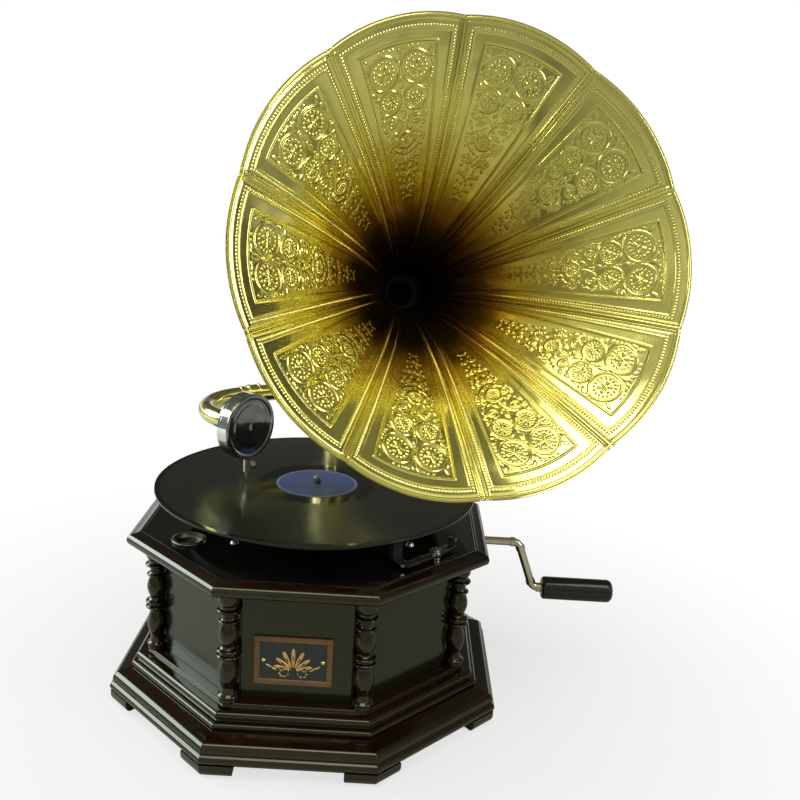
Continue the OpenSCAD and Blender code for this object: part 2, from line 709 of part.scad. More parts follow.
// Each petal is cut to a round end by a cylinder along the horn's axis
module horn_petals() color("#dcb23f") at_horn() {
    half_a = 180 / petals;
    tip = mouth_r + petal_bulge;
    off = (pow(tip, 2) - pow(mouth_r, 2)) / (2 * (tip - mouth_r * cos(half_a)));
    for (i = [0:petals - 1]) rotate(i * 2 * half_a) intersection() {
        rotate(-half_a + seam_a / 2) rotate_extrude(angle = 2 * half_a - seam_a, $fn = 90)
            bell_profile(0, horn_wall * 1.4, mouth_s);
        translate([off, 0, -1]) cylinder(r = tip - off, h = horn_l * mouth_s + 2, $fn = 90);
    }
}

module horn_seams() color("#b98d2c") at_horn()
    for (i = [0:petals - 1]) rotate((i + 0.5) * 360 / petals - seam_a / 2)
        rotate_extrude(angle = seam_a, $fn = 90) bell_profile(0.8, horn_wall * 1.4 + 1.2, 1);

// Sleeve between the elbow and the horn, with a shoulder under the petals
module horn_collar() color("#c99a32") at_horn() rotate_extrude()
    polygon(concat([[pipe_r + run_fit, 2 - elbow_end], [pipe_r + 2.2, 2 - elbow_end]],
        arc(pipe_r + 2.2, 4 - elbow_end, 2, -90, 90, 4),
        [[pipe_r + 1.6, 6 - elbow_end], [pipe_r + 1.6, -3], [neck_in + 3, -3], [neck_in + 3, 0],
        [neck_in - 0.9, 0], [neck_in - 0.9, 6], [pipe_r + run_fit, 6]]));

module at_crank() translate([crank_panel_x, crank_y, crank_z]) rotate([0, 90, 0]) children();
crank_panel_x = panel_apothem;
bush_r = 8;
pinion_x = barrel_x + 27;
arm_straight = (crank_reach - 2 * crank_bend * (1 - cos(arm_angle))) / sin(arm_angle);

// Bent rod: shaft, arm and the journal that the handle turns on
module crank_rod() color("#b8a878") {
    lead = crank_x - crank_panel_x;
    inner = crank_panel_x - pinion_x + 5;
    at_crank() {
        translate([0, 0, -inner]) cylinder(r = rod_r, h = lead + inner - joint_gap);
        translate([0, 0, 4]) cylinder(r = rod_r + 3, h = 5);
        translate([0, 0, lead]) {
            joint_ring(rod_r, rod_r);
            bend(rod_r, rod_r, crank_bend, arm_angle);
        }
        translate([0, 0, lead]) after_bend(crank_bend, arm_angle) {
            joint_ring(rod_r, rod_r);
            translate([0, 0, joint_gap]) cylinder(r = rod_r, h = arm_straight - 2 * joint_gap);
            translate([0, 0, arm_straight]) {
                joint_ring(rod_r, rod_r);
                rotate(180) bend(rod_r, rod_r, crank_bend, arm_angle);
            }
        }
    }
    at_journal() {
        joint_ring(rod_r, rod_r);
        translate([0, 0, joint_gap]) cylinder(r = rod_r, h = handle_l - 4 - joint_gap);
    }
}

// The frame of the journal, +Z out along the handle
module at_journal() at_crank() translate([0, 0, crank_x - crank_panel_x])
    after_bend(crank_bend, arm_angle) translate([0, 0, arm_straight]) rotate(180)
        after_bend(crank_bend, arm_angle) children();

module crank_handle() color("#1d2419") at_journal() translate([0, 0, 3]) difference() {
    rotate_extrude() polygon(concat([[0, 0]],
        arc(handle_r * 0.75, handle_r * 0.25, handle_r * 0.25, -90, 0, 3),
        [[handle_r, handle_l * 0.45]],
        arc(handle_r * 0.5, handle_l - handle_r * 0.5, handle_r * 0.5, 0, 90, 5),
        [[0, handle_l]]));
    translate([0, 0, -1]) cylinder(r = rod_r + run_fit, h = handle_l - 6);
    translate([0, 0, handle_l - 7.2]) cylinder(r = rod_r + 1.5, h = 8);
}

module handle_rivet() color("#b8a878") at_journal()
    translate([0, 0, handle_l - 4]) cylinder(r = rod_r + 1, h = 4);

module crank_bush() color("#c9a24a") at_crank() difference() {
    union() {
        translate([0, 0, -panel_t]) cylinder(r = bush_r, h = panel_t);
        cylinder(r = bush_r + 5, h = 3);
    }
    translate([0, 0, -panel_t - 1]) cylinder(r = rod_r + run_fit, h = panel_t + 6);
}

module crank_bearing() color("#8d8a84") difference() {
    union() {
        translate([pinion_x + 9, crank_y - 9, crank_z]) cube([8, 18, plate_z - crank_z]);
        translate([pinion_x + 9, crank_y, crank_z]) rotate([0, 90, 0]) cylinder(r = 9, h = 8);
    }
    translate([pinion_x, crank_y, crank_z]) rotate([0, 90, 0]) cylinder(r = rod_r + run_fit, h = 30);
}

lever_w = 8;
lever_t = 2;
lever_arm = 40;
lever_end = lever_arm * [cos(227), sin(227)];

// Flat brake lever with a finger tab, a pivot boss and an arm to the platter's skirt
module brake_lever() color("#cfccc4") translate([brake_at.x, brake_at.y, deck_z + 3]) difference() {
    union() {
        rotate(54) translate([0, -lever_w / 2, 0]) cube([27, lever_w, lever_t]);
        rotate(54) translate([25, -lever_w / 2, 0]) cube([lever_t, lever_w, 9]);
        rotate(227) translate([0, -lever_w / 2, 0]) cube([lever_arm, lever_w, lever_t]);
        translate(lever_end) rotate(118) translate([0, -lever_w / 2, 0]) cube([18.5, lever_w, lever_t]);
        cylinder(r = 6, h = 4);
        translate([0, 0, -2.7]) cylinder(r = 5, h = 4);
    }
    translate([0, 0, -5]) cylinder(r = 2 + run_fit, h = 12);
}

module brake_screw() color("#b9b4a8") translate([brake_at.x, brake_at.y, deck_z + 7.2]) {
    translate([0, 0, -7.2]) cylinder(r = 2, h = 7.2);
    translate([0, 0, -12.2]) cylinder(r = 1.45, h = 6);
    difference() {
        cylinder(r = 4, h = 2);
        translate([-5, -0.5, 1]) cube([10, 1, 2]);
    }
}

// Felt pad that presses on the skirt
module brake_pad() color("#7a2e22") intersection() {
    translate([brake_at.x, brake_at.y, deck_z + 5]) translate(lever_end) rotate(118)
        translate([4, -5, 0]) cube([22, 10, 14]);
    difference() {
        translate([0, 0, deck_z]) cylinder(r = platter_r + 8, h = 30, $fn = 128);
        cylinder(r = platter_r + move_gap, h = 400, $fn = 128);
    }
}

barrel_z = floor_z + 20;
lay_ratio = [92, 20, 60, 12];
lay_barrel = tooth * (lay_ratio[0] + lay_ratio[1]) / 2;
lay_spindle = tooth * (lay_ratio[2] + lay_ratio[3]) / 2;
barrel_dist = norm([barrel_x, crank_y]);
lay_cos = (pow(lay_spindle, 2) + pow(barrel_dist, 2) - pow(lay_barrel, 2)) / (2 * lay_spindle * barrel_dist);
lay_a = atan2(crank_y, barrel_x) - acos(lay_cos);
lay_at = [lay_spindle * cos(lay_a), lay_spindle * sin(lay_a)];
lay_b = atan2(lay_at.y - crank_y, lay_at.x - barrel_x);

module plate2d() {
    polygon(pillar_at);
    for (p = pillar_at) translate(p) circle(r = 9);
}

module bedplate() color("#7f7d78") translate([0, 0, plate_z]) difference() {
    linear_extrude(plate_t) plate2d();
    translate([0, 0, -1]) cylinder(r = spindle_r + run_fit, h = 9);
    translate([barrel_x, crank_y, -1]) cylinder(r = 4 + run_fit, h = 9);
    translate([lay_at.x, lay_at.y, -1]) cylinder(r = 2 + run_fit, h = 9);
    at_speed_screw() translate([0, 0, -1]) cylinder(r = 2.5 + run_fit, h = 9);
    for (p = pillar_at) translate([p.x, p.y, -1]) cylinder(r = 2 + run_fit, h = 9);
}

module bottom_plate() color("#7f7d78") difference() {
    union() {
        translate([0, 0, floor_z - plate_t]) linear_extrude(plate_t) plate2d();
        translate([0, 0, floor_z - plate_t - 8]) cylinder(r = 9, h = 10);
        for (y = [12, -60]) translate([worm_x - 5, y - 2, floor_z - 1]) cube([10, 4, worm_z - floor_z + 6]);
    }
    translate([0, 0, floor_z - 8.2]) cylinder(r = spindle_r + run_fit, h = 20);
    translate([barrel_x, crank_y, floor_z - plate_t - 1]) cylinder(r = 4 + run_fit, h = 9);
    translate([lay_at.x, lay_at.y, floor_z - plate_t - 1]) cylinder(r = 2 + run_fit, h = 9);
    translate([worm_x, 20, worm_z]) rotate([90, 0, 0]) cylinder(r = 1.5 + run_fit, h = 90);
}

module pillars() color("#9a978f") for (p = pillar_at)
    translate([p.x, p.y, floor_z]) difference() {
        cylinder(r = pillar_r, h = motor_h);
        translate([0, 0, motor_h - 12]) cylinder(r = 2 + run_fit, h = 13);
    }

module motor_bolts() color("#a9a69e") for (p = pillar_at)
    translate([p.x, p.y, deck_z]) screw(2, board_t + plate_t + 10, 4, 2.5);

// Drum with a toothed rim, closed by a lid
module spring_barrel() color("#b98f3c") translate([barrel_x, crank_y, 0]) difference() {
    union() {
        translate([0, 0, barrel_z]) cylinder(r = barrel_r, h = barrel_h);
        translate([0, 0, barrel_z - 4]) rotate(lay_b) linear_extrude(4) gear2d(tooth, lay_ratio[0]);
    }
    translate([0, 0, barrel_z + 3]) cylinder(r = barrel_r - 2, h = barrel_h - 6);
    translate([0, 0, barrel_z - 5]) cylinder(r = 5 + run_fit, h = barrel_h + 10);
}

// Spiral of flat spring, as an outline that winds out and back
coil_turns = 6;
coil_steps = 18;
coil_t = 1.2;
function coil(i, out) = let (a = i * 360 / coil_steps, r = 8.6 + out
    + (barrel_r - 2.7 - coil_t - 8.6) * i / (coil_turns * coil_steps)) [r * cos(a), r * sin(a)];
module mainspring() color("#5c5f63") translate([barrel_x, crank_y, barrel_z + 4])
    linear_extrude(barrel_h - 8) polygon(concat(
        [for (i = [0:coil_turns * coil_steps]) coil(i, 0)],
        [for (i = [coil_turns * coil_steps:-1:0]) coil(i, coil_t)]));

face_r = 27;
face_m = 1.5;
face_teeth = 36;
// Arbor with a crown wheel and a ratchet
module winding_wheel() color("#c9a24a") translate([barrel_x, crank_y, 0]) {
    pitch_z = crank_z - 9;
    translate([0, 0, floor_z - plate_t]) cylinder(r = 4, h = barrel_z - floor_z);
    translate([0, 0, barrel_z - 4.5]) cylinder(r = 5, h = pitch_z - barrel_z);
    translate([0, 0, barrel_z + 4]) cylinder(r = 8.2, h = barrel_h - 8);
    translate([0, 0, pitch_z - 6]) cylinder(r = 32, h = 4.1);
    translate([0, 0, pitch_z - 6]) cylinder(r = 4, h = plate_z + plate_t - pitch_z + 6);
    translate([0, 0, pitch_z - 2]) linear_extrude(3)
        for (i = [0:face_teeth - 1]) rotate((i + 0.5) * 360 / face_teeth)
            polygon([for (q = [[-4.5, -0.75], [4.5, -0.95], [4.5, 0.95], [-4.5, 0.75]])
                [face_r + q.x, q.y]]);
    translate([0, 0, plate_z - 5]) linear_extrude(3) ratchet2d();
}

module ratchet2d() polygon([for (i = [0:15]) let (a = i * 22.5)
    each [[14 * cos(a), 14 * sin(a)], [11 * cos(a + 2), 11 * sin(a + 2)]]]);

module ratchet_pawl() color("#8d8a84") translate([barrel_x, crank_y, plate_z - 5]) difference() {
    union() {
        rotate(90) translate([22, 0, 0]) cylinder(r = 3.5, h = 5);
        rotate(90) translate([14.4, -9.5, 0]) rotate(52) cube([12, 3, 3]);
    }
    rotate(90) translate([22, 0, -1]) cylinder(r = 1.5, h = 4);
}

module winding_pinion() color("#c9a24a") translate([pinion_x - 2, crank_y, crank_z]) rotate([0, 90, 0])
    difference() {
        linear_extrude(5) gear2d(face_m, 12, 0.5);
        translate([0, 0, -1]) cylinder(r = rod_r + 0.02, h = 10);
    }

// Intermediate shaft between the barrel and the spindle
module layshaft() color("#c9a24a") translate([lay_at.x, lay_at.y, 0]) {
    translate([0, 0, floor_z - plate_t]) cylinder(r = 2, h = motor_h + 2 * plate_t);
    translate([0, 0, floor_z + 4]) cylinder(r = 4, h = 30);
    translate([0, 0, floor_z + 5]) rotate(lay_a + 180 + 180 / lay_ratio[2])
        linear_extrude(4) gear2d(tooth, lay_ratio[2]);
    translate([0, 0, barrel_z - 5.5]) rotate(lay_b + 180 + 180 / lay_ratio[1])
        linear_extrude(7) gear2d(tooth, lay_ratio[1]);
}

module at_governor() translate([worm_x, 0, worm_z]) rotate([90, 0, 0]) children();

// Worm, shaft, fixed collar and sliding friction disc, along +Z towards the front
module governor() color("#bdb9ae") at_governor() {
    translate([0, 0, -14]) cylinder(r = 1.5, h = 76);
    rotate(-360 * 8 / (PI * worm_m)) translate([0, 0, -8])
        linear_extrude(16, twist = -360 * 16 / (PI * worm_m), slices = 44, $fn = 12)
        translate([1, 0]) circle(r = worm_r, $fn = 12);
    translate([0, 0, 13]) cylinder(r = 5, h = 4);
    translate([0, 0, 45]) cylinder(r = 5, h = 5);
    translate([0, 0, 50]) cylinder(r = 14, h = 2);
}

// Each flat spring is bowed out by the ball riveted to its middle
module governor_springs() color("#6d7075") at_governor()
    for (a = [0:120:240]) rotate(a) {
        translate([12.5, 0, 31]) sphere(r = ball_r, $fn = 32);
        translate([5.05, -2, 14]) rotate([0, 24, 0]) cube([0.5, 4, 17]);
        translate([5.05, -2, 48]) mirror([0, 0, 1]) rotate([0, 24, 0]) cube([0.5, 4, 17]);
    }

// The screw stands over the friction disc of the governor
module at_speed_screw() translate([worm_x, -57, 0]) children();

// Screw under the platter that sets the friction on the governor's disc
module speed_screw() color("#a9a69e") at_speed_screw() {
    translate([0, 0, worm_z + 17]) cylinder(r = 2.5, h = deck_z - worm_z - 17);
    translate([0, 0, deck_z]) difference() {
        cylinder(r = 5, h = 3);
        translate([-6, -0.6, 1.5]) cube([12, 1.2, 3]);
    }
}

feet();
bottom_board();
plinth_moulding();
step_moulding();
wall_panels();
front_panel();
crank_panel();
columns();
top_moulding();
top_board();
front_plaque();
plaque_pins();
needle_cup();
platter();
platter_felt();
record();
record_label();
spindle();
back_bracket();
bracket_screws();
horn_clamp_screw();
tone_arm();
pivot_ring();
ferrule();
gooseneck();
sound_box_back();
isolator();
sound_box_ring();
gaskets();
diaphragm();
sound_box_cap();
needle_bar();
needle_screw();
needle();
horn_elbow();
horn_collar();
horn_petals();
horn_seams();
crank_rod();
crank_handle();
handle_rivet();
crank_bush();
crank_bearing();
brake_lever();
brake_screw();
brake_pad();
bedplate();
bottom_plate();
pillars();
motor_bolts();
spring_barrel();
mainspring();
winding_wheel();
winding_pinion();
ratchet_pawl();
layshaft();
spindle_gears();
governor();
governor_springs();
speed_screw();
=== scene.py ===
"""Looks of the wind-up horn record player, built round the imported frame. Lengths below are in millimetres."""

import math

import bpy
import numpy as np
from mathutils import Matrix, Vector


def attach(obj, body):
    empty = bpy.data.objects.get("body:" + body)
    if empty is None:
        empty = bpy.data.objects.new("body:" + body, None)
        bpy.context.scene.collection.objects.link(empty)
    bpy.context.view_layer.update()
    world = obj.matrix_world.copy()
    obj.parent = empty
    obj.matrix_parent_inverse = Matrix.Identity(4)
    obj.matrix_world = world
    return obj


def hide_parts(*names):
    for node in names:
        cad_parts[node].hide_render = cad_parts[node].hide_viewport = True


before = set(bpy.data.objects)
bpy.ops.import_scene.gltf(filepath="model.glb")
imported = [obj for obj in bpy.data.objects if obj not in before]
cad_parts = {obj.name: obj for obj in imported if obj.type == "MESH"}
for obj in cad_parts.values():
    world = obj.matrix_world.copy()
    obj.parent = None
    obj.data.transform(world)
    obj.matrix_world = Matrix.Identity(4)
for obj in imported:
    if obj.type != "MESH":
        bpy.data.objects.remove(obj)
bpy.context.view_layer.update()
MM = 0.001
scene = bpy.context.scene

# Camera, fitted to the photograph; place and directions in metres
SENSOR_WIDTH, LENS = 36, 42.525
CAMERA_AT = (0.0723, -0.8644, 0.5100)
CAMERA_FORWARD = (0.0034, 0.969, -0.247)
CAMERA_RIGHT = (0.9983, 0.0112, 0.0575)
camera = bpy.data.objects.new("camera", bpy.data.cameras.new("camera"))
camera.data.sensor_width = SENSOR_WIDTH
camera.data.lens = LENS
scene.collection.objects.link(camera)
forward = Vector(CAMERA_FORWARD).normalized()
right = Vector(CAMERA_RIGHT).normalized()
up = right.cross(forward).normalized()
right = forward.cross(up).normalized()
camera_place = Matrix((right, up, -forward)).transposed().to_4x4()
camera_place.translation = Vector(CAMERA_AT)
camera.matrix_world = camera_place
scene.camera = camera
scene.view_settings.view_transform = "Standard"


def move(x, y, z):
    """In millimetres."""
    return Matrix.Translation(Vector((x, y, z)) * MM)


def turn(axis, degrees):
    """About an axis of the frame."""
    return Matrix.Rotation(math.radians(degrees), 4, axis)


def bent(radius, angle):
    """From one end of a pipe's bend to the other."""
    a = math.radians(angle)
    return move(radius * (1 - math.cos(a)), 0, radius * math.sin(a)) @ turn("Y", angle)


# The horn's frames, as part.scad has them: elbow, its upper bend (radius, turn, roll), neck
AT_ELBOW = move(0, 170, 288) @ turn("Z", 41.5)
UPPER_BEND = (40, 101.5, 243)
AT_UPPER_BEND = AT_ELBOW @ move(0, 0, 3) @ bent(36, 59.5) @ move(0, 0, 8)
AT_HORN = AT_UPPER_BEND @ turn("Z", UPPER_BEND[2]) @ bent(*UPPER_BEND[:2]) @ move(0, 0, 12)


# ---------- materials ----------
class Nodes:
    """A short way to write a node tree."""

    def __init__(self, name):
        self.material = bpy.data.materials.new(name)
        self.material.use_nodes = True
        self.tree = self.material.node_tree
        self.shader = self.tree.nodes["Principled BSDF"]
        self.geometry = self.make("ShaderNodeTexCoord").outputs["Object"]

    def make(self, kind, **values):
        node = self.tree.nodes.new(kind)
        for key, value in values.items():
            setattr(node, key, value)
        return node

    def link(self, a, b):
        self.tree.links.new(a, b)

    def set(self, **values):
        """Values of the shader's own sockets."""
        for key, value in values.items():
            self.shader.inputs[key.replace("_", " ")].default_value = value

    def noise(self, scale, detail=4, stretch=None, rough=0.5, source=None, seed=None):
        """Noise over the mesh's own coordinates, or over source; seed makes it 4D."""
        node = self.make("ShaderNodeTexNoise", noise_dimensions="4D" if seed else "3D")
        node.inputs["Scale"].default_value = scale
        node.inputs["Detail"].default_value = detail
        node.inputs["Roughness"].default_value = rough
        if seed:
            self.link(seed, node.inputs["W"])
        source = source or self.geometry
        if stretch:
            mapping = self.make("ShaderNodeMapping")
            mapping.inputs["Scale"].default_value = stretch
            self.link(source, mapping.inputs["Vector"])
            source = mapping.outputs["Vector"]
        self.link(source, node.inputs["Vector"])
        return node.outputs["Fac"]

    def ramp(self, source, stops, target=None):
        """A colour ramp; a stop is a position with a grey or a colour."""
        node = self.make("ShaderNodeValToRGB")
        elements = node.color_ramp.elements
        while len(elements) < len(stops):
            elements.new(0.5)
        for element, (position, colour) in zip(elements, stops):
            element.position = position
            element.color = (colour,) * 3 + (1,) if isinstance(colour, (int, float)) else (*colour, 1)
        self.link(source, node.inputs["Fac"])
        if target:
            self.link(node.outputs["Color"], self.shader.inputs[target])
        return node.outputs["Color"]

    def maths(self, operation, a, b=0.0, c=0.0):
        node = self.make("ShaderNodeMath", operation=operation)
        for socket, value in zip(node.inputs, (a, b, c)):
            if isinstance(value, (int, float)):
                socket.default_value = value
            else:
                self.link(value, socket)
        return node.outputs["Value"]

    def mix(self, factor, a, b, target=None, blend="MIX"):
        node = self.make("ShaderNodeMix", data_type="RGBA", blend_type=blend)
        for socket, value in ((node.inputs[0], factor), (node.inputs[6], a), (node.inputs[7], b)):
            if isinstance(value, (int, float)):
                socket.default_value = value
            elif isinstance(value, tuple):
                socket.default_value = (*value, 1)
            else:
                self.link(value, socket)
        if target:
            self.link(node.outputs[2], self.shader.inputs[target])
        return node.outputs[2]

    def bump(self, height, strength, distance, normal=None, socket="Normal"):
        """A bump over a normal; socket is the shader's, or None for a bump that lies under another."""
        node = self.make("ShaderNodeBump")
        node.inputs["Strength"].default_value = strength
        node.inputs["Distance"].default_value = distance
        self.link(height, node.inputs["Height"])
        if normal:
            self.link(normal, node.inputs["Normal"])
        if socket:
            self.link(node.outputs["Normal"], self.shader.inputs[socket])
        return node.outputs["Normal"]

    def bevel(self, radius):
        """A normal that is rounded at edges."""
        node = self.make("ShaderNodeBevel", samples=6)
        node.inputs["Radius"].default_value = radius
        return node.outputs["Normal"]

    def edges(self, soft, stops):
        """A ramp over how far the bevelled normal agrees with the true one; 1 is a flat place."""
        dot = self.make("ShaderNodeVectorMath", operation="DOT_PRODUCT")
        self.link(soft, dot.inputs[0])
        self.link(self.make("ShaderNodeNewGeometry").outputs["Normal"], dot.inputs[1])
        return self.ramp(dot.outputs["Value"], stops)

    def attribute(self, name, output="Fac"):
        return self.make("ShaderNodeAttribute", attribute_name=name).outputs[output]

    def plan(self):
        """X and Y, and the distance from the Z axis."""
        split = self.make("ShaderNodeSeparateXYZ")
        self.link(self.geometry, split.inputs[0])
        x, y = split.outputs[:2]
        squares = self.maths("ADD", self.maths("MULTIPLY", x, x), self.maths("MULTIPLY", y, y))
        return x, y, self.maths("SQRT", squares)


def lacquer(name, low, high, grain, rough=0.07, wear=(0.16, 0.045, 0.02), wear_share=0.35):
    """Dark wood under a thick gloss lacquer, rubbed through a little at its edges."""
    n = Nodes(name)
    lines = n.noise(9, 6, grain, 0.62)
    fleck = n.noise(60, 3, grain, 0.7)
    body = n.ramp(lines, [(0.3, low), (0.72, high)])
    body = n.mix(n.ramp(fleck, [(0.45, 0.0), (0.75, 0.35)]), body, tuple(c * 0.4 for c in low))
    soft = n.bevel(0.0012)
    edge = n.edges(soft, [(0.86, 1.0), (0.995, 0.0)])
    patch = n.ramp(n.noise(26, 4), [(0.42, 0.0), (0.62, wear_share)])
    rub = n.maths("MULTIPLY", edge, patch)
    n.mix(rub, body, wear, "Base Color")
    n.set(Roughness=rough + 0.06, Specular_IOR_Level=0.34, Specular_Tint=(0.92, 1.0, 0.50, 1),
          Coat_Weight=0.45, Coat_Roughness=rough, Coat_IOR=1.4)
    ripple = n.noise(34, 2)
    n.bump(ripple, 0.10, 0.0006, soft, "Coat Normal")
    n.bump(lines, 0.15, 0.0004, soft)
    return n.material


def metal(name, colour, rough, tint=None, scratch=0.12, tarnish=0.0):
    """Polished metal with fine wear in its roughness and a little tarnish."""
    n = Nodes(name)
    cloud = n.noise(18, 5, None, 0.6)
    fine = n.noise(70, 4, None, 0.65)
    darker = tint or tuple(c * 0.72 for c in colour)
    body = n.mix(n.ramp(cloud, [(0.35, 0.0), (0.75, 0.55)]), colour, darker)
    if tarnish:
        spot = n.ramp(n.noise(42, 6, None, 0.7), [(0.58, 0.0), (0.72, tarnish)])
        body = n.mix(spot, body, tuple(c * 0.35 for c in colour))
    n.link(body, n.shader.inputs["Base Color"])
    n.ramp(fine, [(0.3, rough * 0.7), (0.75, rough + scratch)], "Roughness")
    n.set(Metallic=1.0)
    n.bump(fine, 0.06, 0.0003, n.bevel(0.0004))
    return n.material


def plain(name, colour, rough, scale=120, spread=0.25, depth=0.0003, strength=0.3, sheen=0.0):
    """Paint, rubber, paper or felt with a little grain."""
    n = Nodes(name)
    cloud = n.noise(scale / 6, 4)
    fine = n.noise(scale * 6, 3, None, 0.7)
    darker = tuple(c * (1 - spread) for c in colour)
    n.mix(n.ramp(cloud, [(0.3, 0.0), (0.7, 1.0)]), darker, colour, "Base Color")
    n.ramp(fine, [(0.3, rough * 0.85), (0.7, min(1, rough * 1.15))], "Roughness")
    n.bump(fine, strength, depth, n.bevel(0.0003))
    if sheen:
        n.set(Sheen_Weight=sheen, Sheen_Roughness=0.5)
    return n.material


def horn_brass():
    """Embossed brass: bright at the rim, amber and then nearly black towards the throat, in streaks; this
    darkening is painted shade of the deep throat, with some tarnish in it.
    """
    n = Nodes("horn_brass")
    n.geometry = n.attribute("own", "Vector")
    x, y, radius = n.plan()
    which = n.make("ShaderNodeObjectInfo").outputs["Random"]
    along = n.make("ShaderNodeCombineXYZ")
    parts = ((n.maths("ARCTAN2", y, x), 7.0), (radius, 16.0), (which, 40.0))
    for socket, (value, factor) in zip(along.inputs, parts):
        n.link(n.maths("MULTIPLY", value, factor), socket)
    streak = n.noise(1.6, 6, None, 0.62, along.outputs[0])
    depth = n.maths("ADD", n.attribute("reach"), n.maths("MULTIPLY_ADD", streak, 0.30, -0.15))
    # Painted shade with some tarnish: the colour falls to amber and then nearly black towards the throat
    base = n.ramp(depth, [(0.08, (0.022, 0.018, 0.007)), (0.18, (0.036, 0.023, 0.006)),
                          (0.25, (0.11, 0.053, 0.008)), (0.33, (0.29, 0.165, 0.018)),
                          (0.42, (0.48, 0.34, 0.034)), (0.65, (0.73, 0.65, 0.15)), (1.0, (0.78, 0.71, 0.22))])
    cloud = n.ramp(n.noise(14, 5, None, 0.6), [(0.35, 0.0), (0.75, 0.5)])
    body = n.mix(cloud, base, n.mix(1.0, base, (0.80, 0.82, 0.66), blend="MULTIPLY"))
    spots = n.ramp(n.noise(55, 6, None, 0.72), [(0.60, 0.0), (0.74, 0.35)])
    body = n.mix(spots, body, n.mix(1.0, body, (0.34, 0.27, 0.20), blend="MULTIPLY"))
    n.link(body, n.shader.inputs["Base Color"])
    fine = n.ramp(n.noise(90, 4, None, 0.65), [(0.3, 0.12), (0.75, 0.22)])
    n.mix(n.ramp(depth, [(0.15, 1.0), (0.34, 0.0)]), fine, (0.50, 0.50, 0.50), "Roughness")
    n.set(Metallic=1.0, Coat_Weight=0.6, Coat_Roughness=0.12)
    # Large soft dents, different on each petal, under the fine grain
    dents = n.noise(15, 1.5, seed=n.maths("MULTIPLY", which, 60.0))
    wide = n.bump(dents, 0.55, 0.006, socket=None)
    n.bump(n.noise(130, 3), 0.05, 0.0004, wide)
    return n.material


RECORD_RADIUS, LABEL_RADIUS, GROOVE_PITCH = 0.1524, 0.0394, 0.0011  # in metres


def record_black():
    """Pressed record: fine grooves that spread the light, and smoother bands between tracks."""
    n = Nodes("record_black")
    radius = n.plan()[2]
    share = n.maths("DIVIDE", radius, RECORD_RADIUS)
    bands = [(0.0, 0.0), (0.36, 0.0), (0.37, 1.0), (0.52, 1.0), (0.523, 0.2), (0.53, 1.0), (0.66, 1.0),
             (0.663, 0.2), (0.67, 1.0), (0.81, 1.0), (0.813, 0.2), (0.82, 1.0), (0.965, 1.0), (0.97, 0.0)]
    grooved = n.ramp(share, bands)
    # Painted sheen: the grooved bands are coloured a little lighter and more olive than the smooth bands
    n.mix(grooved, (0.005, 0.005, 0.004), (0.010, 0.011, 0.007), "Base Color")
    streak = n.noise(7, 3)
    rough = n.maths("ADD", n.maths("MULTIPLY", grooved, 0.07), n.maths("MULTIPLY_ADD", streak, 0.06, 0.05))
    n.link(rough, n.shader.inputs["Roughness"])
    wave = n.maths("SINE", n.maths("MULTIPLY", radius, 2 * math.pi / GROOVE_PITCH))
    n.bump(n.maths("MULTIPLY", wave, grooved), 0.10, 0.00012, n.bevel(0.0004))
    n.set(Anisotropic=0.75, Specular_IOR_Level=0.42, Specular_Tint=(0.9, 1.0, 0.6, 1))
    tangent = n.make("ShaderNodeTangent", direction_type="RADIAL", axis="Z")
    n.link(tangent.outputs["Tangent"], n.shader.inputs["Tangent"])
    return n.material


def painted_chrome():
    """Chrome darkened as a painted dark reflection, with a painted highlight along its edges."""
    n = Nodes("chrome_painted_reflection")
    soft = n.bevel(0.0014)
    # Painted highlight: pale colour along the edges; painted reflection: dark colour elsewhere
    edge = n.edges(soft, [(0.80, 1.0), (0.99, 0.0)])
    cloud = n.ramp(n.noise(60, 4), [(0.35, (0.20, 0.22, 0.22)), (0.7, (0.30, 0.30, 0.30))])
    n.mix(edge, cloud, (0.85, 0.83, 0.76), "Base Color")
    n.set(Metallic=1.0, Roughness=0.07)
    n.bump(n.noise(40, 2), 0.25, 0.001, soft)
    return n.material


def label_blue():
    """Plain blue label: a pale ring near its edge, a faint ring halfway out and deeper blue round the hole,
    with no lettering.
    """
    n = Nodes("label_blue")
    share = n.maths("DIVIDE", n.plan()[2], LABEL_RADIUS)
    pale, blue, deep = (0.30, 0.36, 0.50), (0.055, 0.090, 0.36), (0.04, 0.060, 0.25)
    ring = n.ramp(share, [(0.0, deep), (0.12, deep), (0.13, blue), (0.50, blue), (0.505, (0.09, 0.11, 0.32)),
                          (0.52, blue), (0.93, blue), (0.94, pale), (0.975, pale), (0.98, deep), (1.0, deep)])
    n.mix(n.ramp(n.noise(26, 5), [(0.42, 0.0), (0.72, 0.55)]), ring, (0.13, 0.14, 0.22), "Base Color")
    n.set(Roughness=0.5)
    n.bump(n.noise(900, 3), 0.1, 0.0001)
    return n.material


WOOD = lacquer("wood_dark", (0.0040, 0.0020, 0.0012), (0.019, 0.0070, 0.0038), (1, 1, 7),
               wear=(0.09, 0.028, 0.014))
PANEL = lacquer("wood_panel", (0.0035, 0.0030, 0.0014), (0.0085, 0.0080, 0.0035), (5, 5, 1), 0.11,
                wear_share=0.1)
BOARD = lacquer("board_black", (0.0025, 0.0024, 0.0018), (0.0060, 0.0050, 0.0035), (1, 6, 1), 0.08,
                wear_share=0.15)
PINE = plain("pine", (0.30, 0.19, 0.10), 0.7, 60, 0.35)
BRASS = metal("brass", (0.82, 0.76, 0.34), 0.17, (0.66, 0.56, 0.16), tarnish=0.35)
HORN = horn_brass()
GEAR = metal("brass_gear", (0.62, 0.46, 0.18), 0.28, tarnish=0.4)
CHROME = metal("chrome", (0.72, 0.73, 0.71), 0.06, (0.60, 0.60, 0.59), 0.05)
PAINTED_CHROME = painted_chrome()
